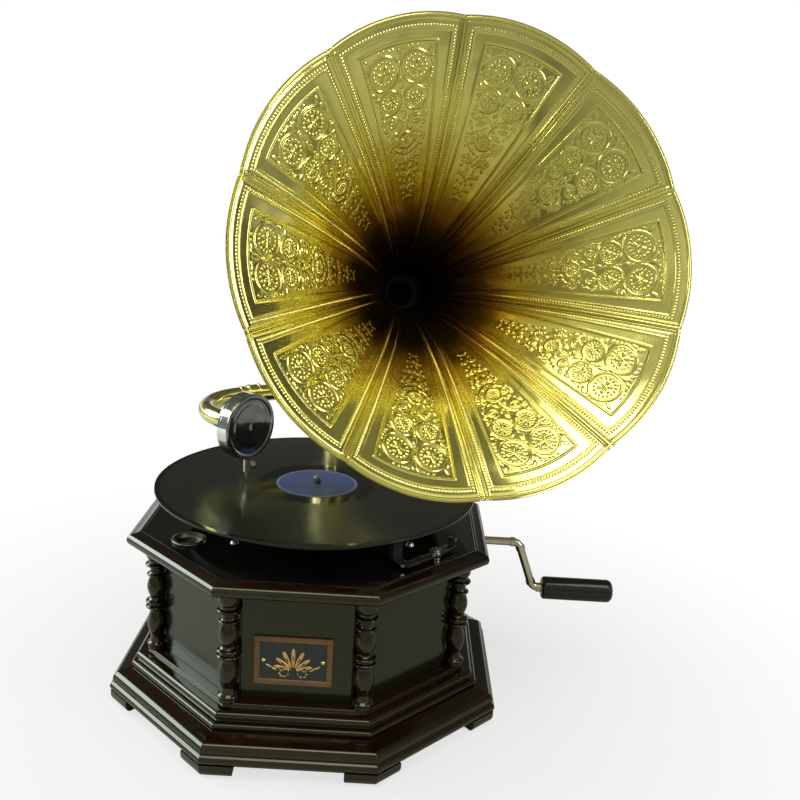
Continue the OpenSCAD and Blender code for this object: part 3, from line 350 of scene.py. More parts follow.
# A darker copy of the nickel for the needle cup and the spindle: painted shade
SHADED_NICKEL = metal("nickel_painted_shade", (0.26, 0.25, 0.19), 0.3, tarnish=0.4)
NICKEL = metal("nickel", (0.60, 0.56, 0.45), 0.16, (0.45, 0.38, 0.24), tarnish=0.3)
STEEL = metal("steel", (0.45, 0.45, 0.44), 0.26, tarnish=0.3)
SPRING = metal("spring_steel", (0.16, 0.18, 0.24), 0.3)
PLATE = metal("plate_steel", (0.40, 0.39, 0.37), 0.34, tarnish=0.4)
PLATTER = plain("platter_paint", (0.045, 0.045, 0.043), 0.42, 90)
FELT = plain("felt_green", (0.05, 0.10, 0.045), 0.95, 160, 0.35, 0.0008, 0.8, 0.4)
FELT_DARK = plain("felt_dark", (0.008, 0.006, 0.005), 0.95, 160, 0.35, 0.0008, 0.8, 0.05)
RECORD = record_black()
LABEL = label_blue()
PLAQUE = plain("plaque_enamel", (0.20, 0.095, 0.033), 0.35, 140, 0.45, 0.0002, 0.2)
RUBBER = plain("rubber", (0.02, 0.02, 0.02), 0.75)
GASKET = plain("gasket", (0.62, 0.56, 0.42), 0.8)
MICA = plain("mica", (0.55, 0.48, 0.30), 0.25)
HANDLE = plain("handle_paint", (0.006, 0.011, 0.007), 0.20, 60, 0.5, 0.0003, 0.2)

# Every CAD node gets its finish; those that have a detailed stand-in are hidden later
FINISH = {
    WOOD: "feet plinth_moulding step_moulding columns top_moulding",
    PANEL: "wall_panels front_panel crank_panel",
    BOARD: "top_board",
    PINE: "bottom_board",
    BRASS: "plaque_pins back_bracket bracket_screws tone_arm ferrule gooseneck horn_elbow horn_collar "
           "crank_bush",
    HORN: "horn_petals horn_seams",
    GEAR: "spring_barrel winding_wheel layshaft spindle_gears",
    CHROME: "sound_box_back sound_box_ring",
    PAINTED_CHROME: "sound_box_cap",
    SHADED_NICKEL: "needle_cup spindle",
    NICKEL: "horn_clamp_screw needle_bar needle_screw crank_rod handle_rivet brake_lever speed_screw",
    STEEL: "pivot_ring needle brake_screw pillars motor_bolts winding_pinion ratchet_pawl governor",
    SPRING: "mainspring governor_springs",
    PLATE: "crank_bearing bedplate bottom_plate",
    PLATTER: "platter",
    FELT: "platter_felt",
    FELT_DARK: "brake_pad",
    RECORD: "record",
    LABEL: "record_label",
    PLAQUE: "front_plaque",
    RUBBER: "isolator",
    GASKET: "gaskets",
    MICA: "diaphragm",
    HANDLE: "crank_handle",
}
for finish, names in FINISH.items():
    for name in names.split():
        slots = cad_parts[name].data.materials
        slots.clear()
        slots.append(finish)


# ---------- mesh helpers ----------
def mesh(name, part, finish, sharp=35):
    """A smooth mesh with sharp edges from a part, its points in millimetres and its faces."""
    points, faces = part
    data = bpy.data.meshes.new(name)
    data.from_pydata([tuple(c * MM for c in p) for p in points], [], faces)
    data.polygons.foreach_set("use_smooth", [True] * len(data.polygons))
    data.set_sharp_from_angle(angle=math.radians(sharp))
    data.materials.append(finish)
    return data


def piece(name, data, body, stands_for=(), place=None):
    """An object that rides on a body and hides the CAD nodes it stands for."""
    if place is not None:
        # The mesh itself moves, so that its box is tight; its own coordinates stay as an attribute
        data = data.copy()
        own = np.empty(len(data.vertices) * 3, np.float32)
        data.vertices.foreach_get("co", own)
        data.attributes.new("own", "FLOAT_VECTOR", "POINT").data.foreach_set("vector", own)
        data.transform(place)
    thing = bpy.data.objects.new(name, data)
    scene.collection.objects.link(thing)
    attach(thing, body)
    if stands_for:
        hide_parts(*stands_for)
    return thing


def quads(rows, columns):
    """Faces of a grid of points that is stored row by row; each row is a closed loop."""
    faces = []
    for i in range(rows - 1):
        for j in range(columns):
            a, b = i * columns, (i + 1) * columns
            k = (j + 1) % columns
            faces.append((a + j, a + k, b + k, b + j))
    return faces


def arc(cx, cy, r, a0, a1, n):
    """Points of a profile on an arc; angles in degrees."""
    return [(cx + r * math.cos(math.radians(a0 + (a1 - a0) * i / n)),
             cy + r * math.sin(math.radians(a0 + (a1 - a0) * i / n))) for i in range(n + 1)]


def swell(r0, r1, z0, z1, n):
    """Points of a profile that swells from r0 to r1 and back."""
    return [(r0 + (r1 - r0) * math.sin(math.pi * i / n), z0 + (z1 - z0) * i / n) for i in range(n + 1)]


def lathe(profile, n):
    """Points and faces of a profile of (radius, height) turned about Z."""
    points = [(r * math.cos(2 * math.pi * j / n), r * math.sin(2 * math.pi * j / n), z)
              for r, z in profile for j in range(n)]
    return points, quads(len(profile), n)


def joined(*parts):
    """Several parts as one."""
    points, faces = [], []
    for p, f in parts:
        faces += [tuple(i + len(points) for i in face) for face in f]
        points += list(p)
    return points, faces


def shifted(part, matrix):
    """A part moved by a matrix."""
    points, faces = part
    return [tuple(matrix @ (Vector(p) * MM) / MM) for p in points], faces


def run(start, *steps):
    """Frames along a pipe: a step is a length, or (radius, turn, roll)."""
    frames = [start]
    for step in steps:
        if isinstance(step, tuple):
            radius, angle, roll = step
            base = frames[-1] @ turn("Z", roll)
            count = max(3, int(angle / 4))
            frames += [base @ bent(radius, angle * i / count) @ turn("Z", -roll) for i in range(1, count + 1)]
        else:
            frames.append(frames[-1] @ move(0, 0, step))
    return frames


def pipe(frames, r, n):
    """A skin of radius r round the frames."""
    points = []
    for m in frames:
        for j in range(n):
            a = 2 * math.pi * j / n
            points.append(tuple(m @ Vector((r * math.cos(a) * MM, r * math.sin(a) * MM, 0)) / MM))
    return points, quads(len(frames), n)


# ---------- case ----------
HALF = math.radians(22.5)  # half of the angle that one side of the octagon takes
MITRE = 0.0002  # angle that is left free at each mitre


def octagon_ring(profile):
    """Eight mitred lengths of a closed profile of (apothem, height)."""
    parts = []
    for side in range(8):
        middle = math.radians(45 * side)
        points = []
        for end in (-1, 1):
            a = middle + end * (HALF - MITRE)
            points += [(p[0] / math.cos(HALF) * math.cos(a), p[0] / math.cos(HALF) * math.sin(a), p[1])
                       for p in profile]
        parts.append((points, quads(2, len(profile))))
    return joined(*parts)


# Profiles as (apothem, height), with their beads read off the photograph
MOULDINGS = {
    "plinth": [(148, 12), (178.6, 12)] + arc(176.6, 16.2, 4.1, -60, 72, 12) + [(177.5, 20.5)]
              + arc(171.3, 23.6, 6.8, -25, 72, 16) + [(160.5, 34.5), (148, 34.8)],
    "step": [(125, 34.6), (159.6, 34.6)] + arc(159.6, 37.1, 2.5, -90, 90, 10)
            + [(156.4, 40.0), (155.8, 40.7)] + arc(154.4, 44.3, 3.6, -60, 90, 12) + [(147.4, 48)]
            + arc(146.4, 50.4, 0.6, 0, 90, 4) + [(125, 51)],
    "top": [(125, 156), (159.5, 156)] + arc(159.5, 161.4, 5.4, -90, 74, 16)
           + [(155.2, 168)] + arc(153.3, 167.5, 1.5, 60, 180, 6) + [(151.8, 159), (125, 159)],
}
for name, profile in MOULDINGS.items():
    piece(f"{name}_profile", mesh(name, octagon_ring(profile), WOOD, 28), "case",
          (f"{name}_moulding",))


# Apothems of a foot's outer and inner edge and of its middle, radius of its ends, height, rounding
FOOT_OUT, FOOT_IN, FOOT_MIDDLE, FOOT_END, FOOT_H, FOOT_ROUND = 180, 166, 173, 26, 12, 8


def foot():
    """Corner foot whose lower edge is rounded all round."""
    def plan(out, inner, radius):
        centre = FOOT_MIDDLE / math.cos(HALF)
        loop = []
        for side in (-1, 1):
            normal = (math.cos(HALF), side * math.sin(HALF))
            along = (-math.sin(HALF), side * math.cos(HALF))
            ends = []
            for a in (out, inner):
                dx, dy = normal[0] * a - centre, normal[1] * a
                half_b = dx * along[0] + dy * along[1]
                t = -half_b + math.sqrt(half_b ** 2 - dx ** 2 - dy ** 2 + radius ** 2)
                ends.append((normal[0] * a + along[0] * t, normal[1] * a + along[1] * t))
            loop.append(ends)
        return [(out / math.cos(HALF), 0), loop[1][0], loop[1][1], (inner / math.cos(HALF), 0),
                loop[0][1], loop[0][0]]

    levels = [(FOOT_H, 0)] + [(FOOT_ROUND - FOOT_ROUND * math.sin(math.radians(a)),
                               FOOT_ROUND * (1 - math.cos(math.radians(a)))) for a in range(0, 91, 10)]
    points = []
    for z, inset in levels:
        edge = plan(FOOT_OUT - inset, FOOT_IN + 0.2 * inset, FOOT_END - 0.45 * inset)
        points += [(x, y, z) for x, y in edge]
    n = len(levels)
    faces = quads(n, 6)
    return points, faces + [tuple(range(6)), tuple(range(6 * n - 1, 6 * n - 7, -1))]


COLUMN_R, COLUMN_H, COLUMN_APOTHEM, COLUMN_Z = 10.5, 105.0, 140, 51


def column():
    """Turned corner column; its profile is in shares of its radius and height."""
    r, h = COLUMN_R, COLUMN_H
    profile = [(0, 0), (r * 0.81, 0), (r * 0.84, 0.3), (r * 0.84, 0.025 * h)]
    profile += arc(r * 0.76, 0.045 * h, r * 0.13, -60, 60, 8) + [(r * 0.64, 0.07 * h), (r * 0.58, 0.11 * h)]
    profile += swell(r * 0.6, r * 0.85, 0.13 * h, 0.36 * h, 22) + [(r * 0.62, 0.375 * h)]
    profile += swell(r * 0.72, r, 0.385 * h, 0.425 * h, 10) + swell(r * 0.72, r, 0.435 * h, 0.475 * h, 10)
    profile += [(r * 0.6, 0.49 * h)] + swell(r * 0.62, r * 0.86, 0.505 * h, 0.685 * h, 20)
    profile += swell(r * 0.66, r * 0.88, 0.695 * h, 0.73 * h, 8)
    profile += [(r * 0.58, 0.745 * h), (r * 0.56, 0.775 * h)]
    profile += swell(r * 0.72, r, 0.785 * h, 0.83 * h, 10)
    profile += [(r * 0.7, 0.85 * h), (r * 0.8, 0.862 * h), (r * 0.9, 0.88 * h), (r * 0.95, 0.91 * h),
                (r * 0.95, h), (0, h)]
    return lathe(profile, 48)


column_mesh = mesh("column", column(), WOOD, 40)
foot_mesh = mesh("foot", foot(), WOOD, 30)
for i in range(8):
    corner = turn("Z", 22.5 + 45 * i)
    # Each column is turned on its axis by a different angle
    at = corner @ move(COLUMN_APOTHEM / math.cos(HALF), 0, COLUMN_Z) @ turn("Z", 37 * i)
    piece(f"column_{i + 1}", column_mesh, "case", ("columns",), at)
    piece(f"foot_{i + 1}", foot_mesh, "case", ("feet",), corner)

# Plaque: enamelled frame, dark field and a plain gilt palmette
AT_PLAQUE = move(-3, -137, 89) @ turn("X", 90)
PLAQUE_X, PLAQUE_Y, PLAQUE_RIM, PLAQUE_T = 34, 22.75, 5.5, 2.2


def slab(x0, y0, z0, x1, y1, z1, bevel=0.3):
    """A block with bevelled upper edges."""
    low = [(x0, y0, z0), (x1, y0, z0), (x1, y1, z0), (x0, y1, z0)]
    mid = [(x, y, z1 - bevel) for x, y, _ in low]
    b = bevel
    top = [(x0 + b, y0 + b, z1), (x1 - b, y0 + b, z1), (x1 - b, y1 - b, z1), (x0 + b, y1 - b, z1)]
    return low + mid + top, [(3, 2, 1, 0), *quads(3, 4), (8, 9, 10, 11)]


def palmette():
    """Seven leaves that fan out over a pair of small scrolls, domed."""
    parts = []

    def leaf(x, y, long, wide, degrees):
        a = math.radians(degrees)
        points, n, rings = [], 20, 5
        for k in range(rings):
            q = math.cos(math.pi / 2 * k / rings)
            for j in range(n):
                t = 2 * math.pi * j / n
                u = 0.5 * long * (1 + q * math.cos(t))
                v = wide * q * math.sin(t) * (0.55 + 0.45 * math.cos(t / 2) ** 2)
                points.append((x + u * math.cos(a) - v * math.sin(a), y + u * math.sin(a) + v * math.cos(a),
                               1.2 + 0.75 * math.sin(math.pi / 2 * k / rings)))
        parts.append((points, quads(rings, n)))

    for k in range(-3, 4):
        leaf(2.5 * math.sin(k * 0.5), -8 + 1.5 * math.cos(k * 0.5), 19 - 1.5 * abs(k), 2.3, 90 - 26 * k)
    for side in (-1, 1):
        for k in range(7):
            a = math.radians(90 + side * (40 + 45 * k))
            r = 4.6 - 0.5 * k
            leaf(side * 8.5 + r * math.cos(a), -11 + r * math.sin(a), 3.2, 0.9, math.degrees(a) + side * 90)
        leaf(side * 14, -9, 11, 1.4, 90 - side * 60)
    return joined(*parts)


FIELD = plain("plaque_field", (0.012, 0.02, 0.012), 0.25, 140, 0.4, 0.0002, 0.2)
GILT = metal("plaque_gilt", (0.72, 0.46, 0.20), 0.35, tarnish=0.3)
inner_x, inner_y = PLAQUE_X - PLAQUE_RIM, PLAQUE_Y - PLAQUE_RIM
rails = [slab(-PLAQUE_X, inner_y, 0.2, PLAQUE_X, PLAQUE_Y, PLAQUE_T, 0.8),
         slab(-PLAQUE_X, -PLAQUE_Y, 0.2, PLAQUE_X, -inner_y, PLAQUE_T, 0.8),
         slab(-PLAQUE_X, -inner_y, 0.2, -inner_x, inner_y, PLAQUE_T, 0.8),
         slab(inner_x, -inner_y, 0.2, PLAQUE_X, inner_y, PLAQUE_T, 0.8),
         slab(-PLAQUE_X, -PLAQUE_Y, 0, PLAQUE_X, PLAQUE_Y, 1.0)]
ground = slab(-28.4, -17.1, 0.9, 28.4, 17.1, 1.25, 0.1)
for name, part, finish, slot in (("plaque_frame", joined(*rails), PLAQUE, "plaque_enamel"),
                                 ("plaque_ground", ground, FIELD, "plaque_enamel"),
                                 ("plaque_palmette", palmette(), GILT, "brass")):
    piece(name, mesh(name, part, finish), "case", ("front_plaque",), AT_PLAQUE)

# ---------- horn ----------
# Radius at the neck and at a seam's end, length, power of the flare, and a petal's tip beyond the seams
NECK, MOUTH, LONG, FLARE, BULGE, PETALS = 18.4, 207.0, 232.0, 1.8, 3.0, 10
WEDGE = math.pi / PETALS
TIP = MOUTH + BULGE
OFF = (TIP ** 2 - MOUTH ** 2) / (2 * (TIP - MOUTH * math.cos(WEDGE)))  # centre of the arc that ends a petal


def bell(s):
    """Radius at a share s of the length."""
    return NECK + (MOUTH - NECK) * s ** FLARE


def reach_of(r):
    """The share of the length at which the bell has the radius r."""
    return ((r - NECK) / (MOUTH - NECK)) ** (1 / FLARE)


# The bell in fine steps: share of the length, radius, length along the skin
S_FINE = np.linspace(0, reach_of(TIP) * 1.01, 1200)
R_FINE = bell(S_FINE)
L_FINE = np.concatenate([[0], np.cumsum(np.hypot(np.diff(R_FINE), np.diff(S_FINE) * LONG))])


def edge_radius(a):
    """Radius of the mouth's edge at an angle from a petal's middle."""
    return OFF * np.cos(a) + np.sqrt((TIP - OFF) ** 2 - (OFF * np.sin(a)) ** 2)


def ridge(d, size, height):
    """A raised line at distance 0."""
    return height * np.exp(-(d / size) ** 2)


def smooth(x, a, b):
    """From 0 at a to 1 at b."""
    t = np.clip((x - a) / (b - a), 0, 1)
    return t * t * (3 - 2 * t)


def spiral(cx, cy, r0, r1, a0, a1, n=40):
    """A scroll stroke; angles in degrees."""
    t = np.linspace(0, 1, n)
    a = np.radians(a0 + (a1 - a0) * t)
    r = r0 + (r1 - r0) * t
    return np.stack([cx + r * np.cos(a), cy + r * np.sin(a)], 1)


def curve(*points, n=24):
    """A Bezier stroke with these four points as its controls."""
    p = np.array(points, float)
    t = np.linspace(0, 1, n)[:, None]
    return (1 - t) ** 3 * p[0] + 3 * t * (1 - t) ** 2 * p[1] + 3 * t ** 2 * (1 - t) * p[2] + t ** 3 * p[3]


MARGIN = 3  # beyond this distance a stroke of the ornament has no height


def ornament(x, y, far):
    """Height of the chased pattern inside a petal's panel. x is across, y along, far the petal's tip."""
    x = np.abs(x)
    out = np.zeros_like(x)

    def stroke(path, size=0.75, height=0.75):
        lo, hi = path.min(0) - MARGIN, path.max(0) + MARGIN
        near = (x > lo[0]) & (x < hi[0]) & (y > lo[1]) & (y < hi[1])
        px, py = x[near][:, None], y[near][:, None]
        d = np.sqrt(((px - path[None, :, 0]) ** 2 + (py - path[None, :, 1]) ** 2).min(1))
        out[near] = np.maximum(out[near], ridge(d, size, height))

    def dots(path, size=0.8, height=0.8):
        for q in path:
            near = (np.abs(x - q[0]) < MARGIN) & (np.abs(y - q[1]) < MARGIN)
            d = np.hypot(x[near] - q[0], y[near] - q[1])
            out[near] = np.maximum(out[near], ridge(d, size, height))

    def leaf(cx, cy, long, wide, angle, height=0.8):
        a = math.radians(angle)
        near = np.hypot(x - cx, y - cy) < long + 2
        dx, dy = x[near] - cx, y[near] - cy
        u, v = dx * math.cos(a) + dy * math.sin(a), -dx * math.sin(a) + dy * math.cos(a)
        q = (u / long) ** 2 + (v / wide) ** 2
        vein = 0.4 * height * np.exp(-(v / 0.35) ** 2) * (q < 0.8)
        out[near] = np.maximum(out[near], height * np.sqrt(np.clip(1 - q, 0, 1)) - vein)

    def medallion(cx, cy, r):
        near = np.hypot(x - cx, y - cy) < r + 2.5
        dx, dy = x[near] - cx, y[near] - cy
        d, a = np.hypot(dx, dy), np.arctan2(dy, dx)
        beads, leaves = np.clip(np.cos(16 * a), 0, 1), np.clip(np.cos(6 * a), 0, 1)
        h = ridge(d - r, 0.8, 1.0) + ridge(d - 0.84 * r, 0.5, 0.35)
        h += ridge(d - 0.66 * r, 1.0, 0.9) * beads ** 0.8
        h += 0.95 * leaves ** 0.5 * smooth(d, 0.10 * r, 0.22 * r) * (1 - smooth(d, 0.40 * r, 0.50 * r))
        h += ridge(d, 0.12 * r, 1.0)
        out[near] = np.maximum(out[near], h * (d < r + 2.4))

    # Five groups of ornament, from the tip to the neck
    c1 = far - 45
    medallion(15.6, c1, 14.4)
    medallion(12.2, c1 - 27, 10.6)
    leaf(0, c1 + 13, 5.5, 2.2, 90)
    leaf(4.0, c1 + 16.5, 3.6, 1.4, 50)
    leaf(8.5, c1 + 17.5, 3.0, 1.1, 15)
    leaf(0, c1 - 13, 4.4, 2.0, 90)
    leaf(30.5, c1 + 13.0, 4.0, 1.5, 60)
    leaf(32.0, c1 + 6.0, 3.4, 1.3, 100)
    leaf(27.0, c1 - 15.0, 4.0, 1.5, 35)
    leaf(24.6, c1 - 20.0, 3.2, 1.2, 0)
    leaf(24.0, c1 - 25.5, 2.8, 1.0, 70)
    dots([(31.0, c1 - 3), (30.0, c1 - 7), (28.6, c1 - 10.5), (0, c1 + 6), (0, c1 + 3.4), (0, c1 - 7),
          (0, c1 - 19), (13.5, c1 + 18.5), (18.5, c1 + 18.0), (22.6, c1 - 30)])
    stroke(curve((0, c1 - 22), (4, c1 - 34), (13, c1 - 42), (22, c1 - 35)))
    stroke(spiral(12.2, c1 - 46, 5.6, 0.8, 110, 700))
    stroke(spiral(20.6, c1 - 43, 2.9, 0.6, 250, -160), 0.6, 0.65)
    stroke(curve((12.0, c1 - 40.6), (5, c1 - 41), (2, c1 - 49), (0, c1 - 59)))
    leaf(0, c1 - 40, 4.4, 2.2, 90)
    leaf(5.2, c1 - 54, 4.0, 1.5, 120)
    leaf(19.0, c1 - 50.5, 3.4, 1.3, 60)
    leaf(5.0, c1 - 33, 2.8, 1.2, 130)
    dots([(17.6, c1 - 38.5), (16.4, c1 - 55), (0, c1 - 33), (0, c1 - 47), (3.0, c1 - 44.5),
          (21.5, c1 - 37.5)])
    c2 = c1 - 65
    medallion(0, c2, 7.2)
    stroke(spiral(11.2, c2 - 1, 4.0, 0.8, 200, -380))
    stroke(spiral(17.4, c2 + 3, 2.6, 0.6, 300, -110), 0.6, 0.65)
    stroke(curve((13.5, c2 + 7), (16.5, c2 + 1), (13, c2 - 8), (6, c2 - 11)))
    leaf(8.6, c2 + 7.5, 3.6, 1.4, 35)
    leaf(5.0, c2 - 11, 3.4, 1.3, 60)
    leaf(15.2, c2 - 5.5, 2.8, 1.1, 80)
    dots([(12.0, c2 + 6.2), (9.4, c2 - 8.5), (17.2, c2 - 1.6)])
    c3 = c2 - 20
    stroke(spiral(6.0, c3, 3.7, 0.7, 60, 620))
    stroke(spiral(12.2, c3 + 2.5, 2.3, 0.5, 200, -200), 0.55, 0.65)
    leaf(0, c3 - 1, 5.0, 2.0, 90)
    leaf(10.2, c3 - 5, 3.0, 1.2, 100)
    leaf(3.6, c3 - 8, 3.2, 1.2, 75)
    dots([(8.6, c3 + 6), (0, c3 + 6.5), (11.0, c3 - 1.4)])
    c4 = c3 - 17
    stroke(spiral(4.6, c4 + 2, 2.9, 0.6, 240, -240), 0.6, 0.65)
    stroke(spiral(9.4, c4 + 3, 1.8, 0.5, 60, 420), 0.55, 0.6)
    leaf(0, c4 - 1, 4.4, 1.7, 90)
    leaf(7.0, c4 - 4, 2.8, 1.1, 100)
    leaf(2.6, c4 - 7, 2.6, 1.0, 75)
    c5 = c4 - 14
    stroke(spiral(3.4, c5 + 1, 2.2, 0.5, 60, 520), 0.55, 0.6)
    leaf(6.6, c5 + 1, 2.6, 1.0, 95)
    leaf(0, c5 - 2, 3.6, 1.4, 90)
    leaf(3.6, c5 - 6, 2.4, 0.9, 85)
    leaf(0, c5 - 11, 3.0, 1.1, 90)
    dots([(2.4, c5 - 10), (4.0, c5 - 11.5)])
    return out


BORDER_TIP, PANEL_TIP, BEAD_PITCH = 11, 23, 2.9  # from the tip to the border and to the panel
UNSHADED_REACH = 0.6  # the reach from which the brass has no painted shade of the throat


def petal_relief(across, along, width, from_tip, far):
    """Height of the embossing on a petal, towards the listener."""
    seam = width - np.abs(across)
    h = ridge(seam - 3.0, 0.9, 1.1) - ridge(seam - 4.6, 0.8, 0.25)
    # A beaded border with a fine line inside it
    from_side = seam - (2.4 + 0.085 * width)
    border = np.minimum(from_side, from_tip - BORDER_TIP)
    t = np.where(from_side < from_tip - BORDER_TIP, along, across)
    h += ridge(border, 0.95, 0.85) * (0.25 + 0.75 * np.clip(np.cos(2 * np.pi * t / BEAD_PITCH), -0.2, 1))
    h += ridge(border - 2.6, 0.6, 0.55)
    # A sunk panel with a raised edge, the ornament in it
    panel = np.minimum(seam - (1.5 + 0.345 * width), from_tip - PANEL_TIP)
    h += ridge(panel, 0.75, 0.95) - 0.55 * smooth(panel, 0.2, 1.6)
    h += ridge(from_tip - 4.2, 1.6, -0.5)
    h += 0.85 * ornament(across, along, far) * smooth(panel, 0.6, 2.0)
    return h * smooth(along, 12, 46)


def skin(length):
    """Share of the bell's length, radius and slope at lengths along the skin."""
    slopes = [np.interp(length, L_FINE, np.gradient(v, L_FINE)) for v in (R_FINE, S_FINE * LONG)]
    return np.interp(length, L_FINE, S_FINE), np.interp(length, L_FINE, R_FINE), *slopes


def petal_skin(rows, columns, outside):
    """Points, faces and reach of one face of a petal. Inward is towards the axis and out of the mouth."""
    a = np.linspace(-WEDGE, WEDGE, columns)[None, :] * 0.9995
    l_edge = np.interp(edge_radius(a), R_FINE, L_FINE)
    length = np.linspace(0, 1, rows)[:, None] ** 0.9 * l_edge
    s, r, dr, dz = skin(length)
    a = np.broadcast_to(a, r.shape)
    far = float(np.interp(TIP, R_FINE, L_FINE))
    h = petal_relief(a * r, length, WEDGE * r, l_edge - length, far)
    lift = 0.75 * h - 1.5 if outside else h - 0.4
    rr, zz = r - lift * dz, np.minimum(s * LONG + lift * dr, LONG * reach_of(TIP))
    points = np.stack([rr * np.cos(a), rr * np.sin(a), zz], -1).reshape(-1, 3)
    i = np.arange(rows - 1)[:, None] * columns + np.arange(columns - 1)[None, :]
    faces = np.stack([i, i + 1, i + columns + 1, i + columns], -1).reshape(-1, 4)
    reach = (r / TIP).ravel()
    if outside:
        return points, faces[:, ::-1], np.maximum(reach, UNSHADED_REACH)
    return points, faces, reach


INNER_GRID, OUTER_GRID = (560, 200), (300, 110)


def petal():
    """A petal's two faces; the painted shade of the throat is on the inner one only."""
    inner, outer = petal_skin(*INNER_GRID, False), petal_skin(*OUTER_GRID, True)
    points = np.concatenate([inner[0], outer[0]])
    faces = np.concatenate([inner[1], outer[1] + len(inner[0])])
    data = bpy.data.meshes.new("petal")
    data.vertices.add(len(points))
    data.vertices.foreach_set("co", (points * MM).astype(np.float32).ravel())
    data.loops.add(faces.size)
    data.loops.foreach_set("vertex_index", faces.ravel().astype(np.int32))
    data.polygons.add(len(faces))
    data.polygons.foreach_set("loop_start", (np.arange(len(faces)) * 4).astype(np.int32))
    data.polygons.foreach_set("use_smooth", np.ones(len(faces), bool))
    data.update(calc_edges=True)
    data.validate()
    reach = data.attributes.new("reach", "FLOAT", "POINT")
    reach.data.foreach_set("value", np.concatenate([inner[2], outer[2]]).astype(np.float32))
    data.materials.append(HORN)
    return data


petal_mesh = petal()
for i in range(PETALS):
    piece(f"petal_{i + 1}", petal_mesh, "horn", ("horn_petals",), AT_HORN @ turn("Z", 36 * i))


def with_reach(thing, ring):
    """Gives a horn piece the petals' attribute. Half of each ring of points is outside, without the painted
    shade of the throat.
    """
    co = np.empty(len(thing.data.vertices) * 3, np.float32)
    thing.data.attributes["own"].data.foreach_get("vector", co)
    co = co.reshape(-1, 3) / MM
    reach = np.hypot(co[:, 0], co[:, 1]) / TIP
    reach = np.where(np.arange(len(reach)) % ring > ring // 2, np.maximum(reach, UNSHADED_REACH), reach)
    thing.data.attributes.new("reach", "FLOAT", "POINT").data.foreach_set("value", reach.astype(np.float32))


RIB_RING, RIM_RING, RIM_WIRE = 12, 14, 1.55


def seams():
    """A half-round rib over each seam, on both faces of the horn."""
    parts = []
    n = 90
    s, r, dr, dz = skin(np.linspace(2, float(np.interp(MOUTH, R_FINE, L_FINE)) - 1, n))
    for i in range(PETALS):
        a = (i + 0.5) * 2 * WEDGE
        points = []
        for k in range(n):
            wide = 0.7 + 0.7 * k / n
            for q in range(RIB_RING):
                b = 2 * math.pi * q / RIB_RING
                side, lift = wide * 1.25 * math.cos(b), 1.15 * math.sin(b) - 0.2
                rr, zz = r[k] - lift * dz[k], s[k] * LONG + lift * dr[k]
                points.append((rr * math.cos(a) - side * math.sin(a),
                               rr * math.sin(a) + side * math.cos(a), zz))
        parts.append((points, quads(n, RIB_RING)))
    return joined(*parts)


def rim():
    """The edge rolled round a wire, petal by petal."""
    parts = []
    for i in range(PETALS):
        points = []
        n = 60
        for k in range(n + 1):
            a = -WEDGE + 2 * WEDGE * k / n
            r = float(edge_radius(a)) - 1.6
            s = reach_of(r)
            g = i * 2 * WEDGE + a
            for q in range(RIM_RING):
                b = 2 * math.pi * q / RIM_RING
                rr, zz = r + RIM_WIRE * math.cos(b), s * LONG - 0.7 + RIM_WIRE * math.sin(b)
                points.append((rr * math.cos(g), rr * math.sin(g), zz))
        parts.append((points, quads(n + 1, RIM_RING)))
    return joined(*parts)


ribs = mesh("horn_seam_ribs", seams(), HORN)
with_reach(piece("horn_seam_ribs", ribs, "horn", ("horn_seams",), AT_HORN), RIB_RING)
with_reach(piece("horn_rim", mesh("horn_rim", rim(), HORN), "horn", (), AT_HORN), RIM_RING)

# A dark lining of the throat, over the collar's lip and down the elbow's upper bend: painted shade of the deep
# throat
THROAT_SHADE = plain("throat_shade_paint", (0.016, 0.012, 0.006), 0.85, 120, 0.5)
THROAT_R, THROAT_SIDES, BEND_SKIPPED = 14.3, 64, 10
lip = lathe([(THROAT_R, -8), (THROAT_R, 7.4), (18.9, 7.4), (19.6, 20)], THROAT_SIDES)
deep = pipe(run(AT_UPPER_BEND, UPPER_BEND, 6)[BEND_SKIPPED:], THROAT_R, THROAT_SIDES)
piece("throat_soot", mesh("throat_soot", joined(shifted(lip, AT_HORN), deep), THROAT_SHADE), "horn")

# ---------- light and floor, in metres ----------
def lamp(name, place, aim, size, power, colour):
    """A rectangular lamp; power in watts."""
    data = bpy.data.lights.new(name, "AREA")
    data.shape = "RECTANGLE"
    data.size, data.size_y = size
    data.energy = power
    data.color = colour
    thing = bpy.data.objects.new(name, data)
    thing.location = place
    thing.rotation_euler = (Vector(aim) - Vector(place)).to_track_quat("-Z", "Y").to_euler()
    scene.collection.objects.link(thing)


lamp("window", (-1.75, 0.35, 0.95), (-0.2, -0.1, 0.1), (1.15, 1.0), 36, (0.84, 0.94, 1.0))
lamp("ceiling", (0.15, -0.75, 2.1), (0.05, 0, 0.3), (1.3, 0.7), 14, (1.0, 0.99, 0.95))
lamp("left", (-1.75, -0.85, 1.0), (0.05, 0, 0.35), (0.3, 0.6), 6, (1.0, 0.98, 0.95))
lamp("right", (1.9, -0.9, 1.1), (0.05, 0, 0.35), (0.35, 1.0), 13, (0.97, 0.98, 1.0))

floor_data = bpy.data.meshes.new("floor")
floor_data.from_pydata([(-6, -0.75, 0), (6, -0.75, 0), (6, 6, 0), (-6, 6, 0)], [], [(0, 1, 2, 3)])
floor = bpy.data.objects.new("floor", floor_data)
floor.location.z = -0.0005
scene.collection.objects.link(floor)
n = Nodes("floor_pale")
n.set(Base_Color=(0.62, 0.62, 0.56, 1), Roughness=0.8, Specular_IOR_Level=0.1)
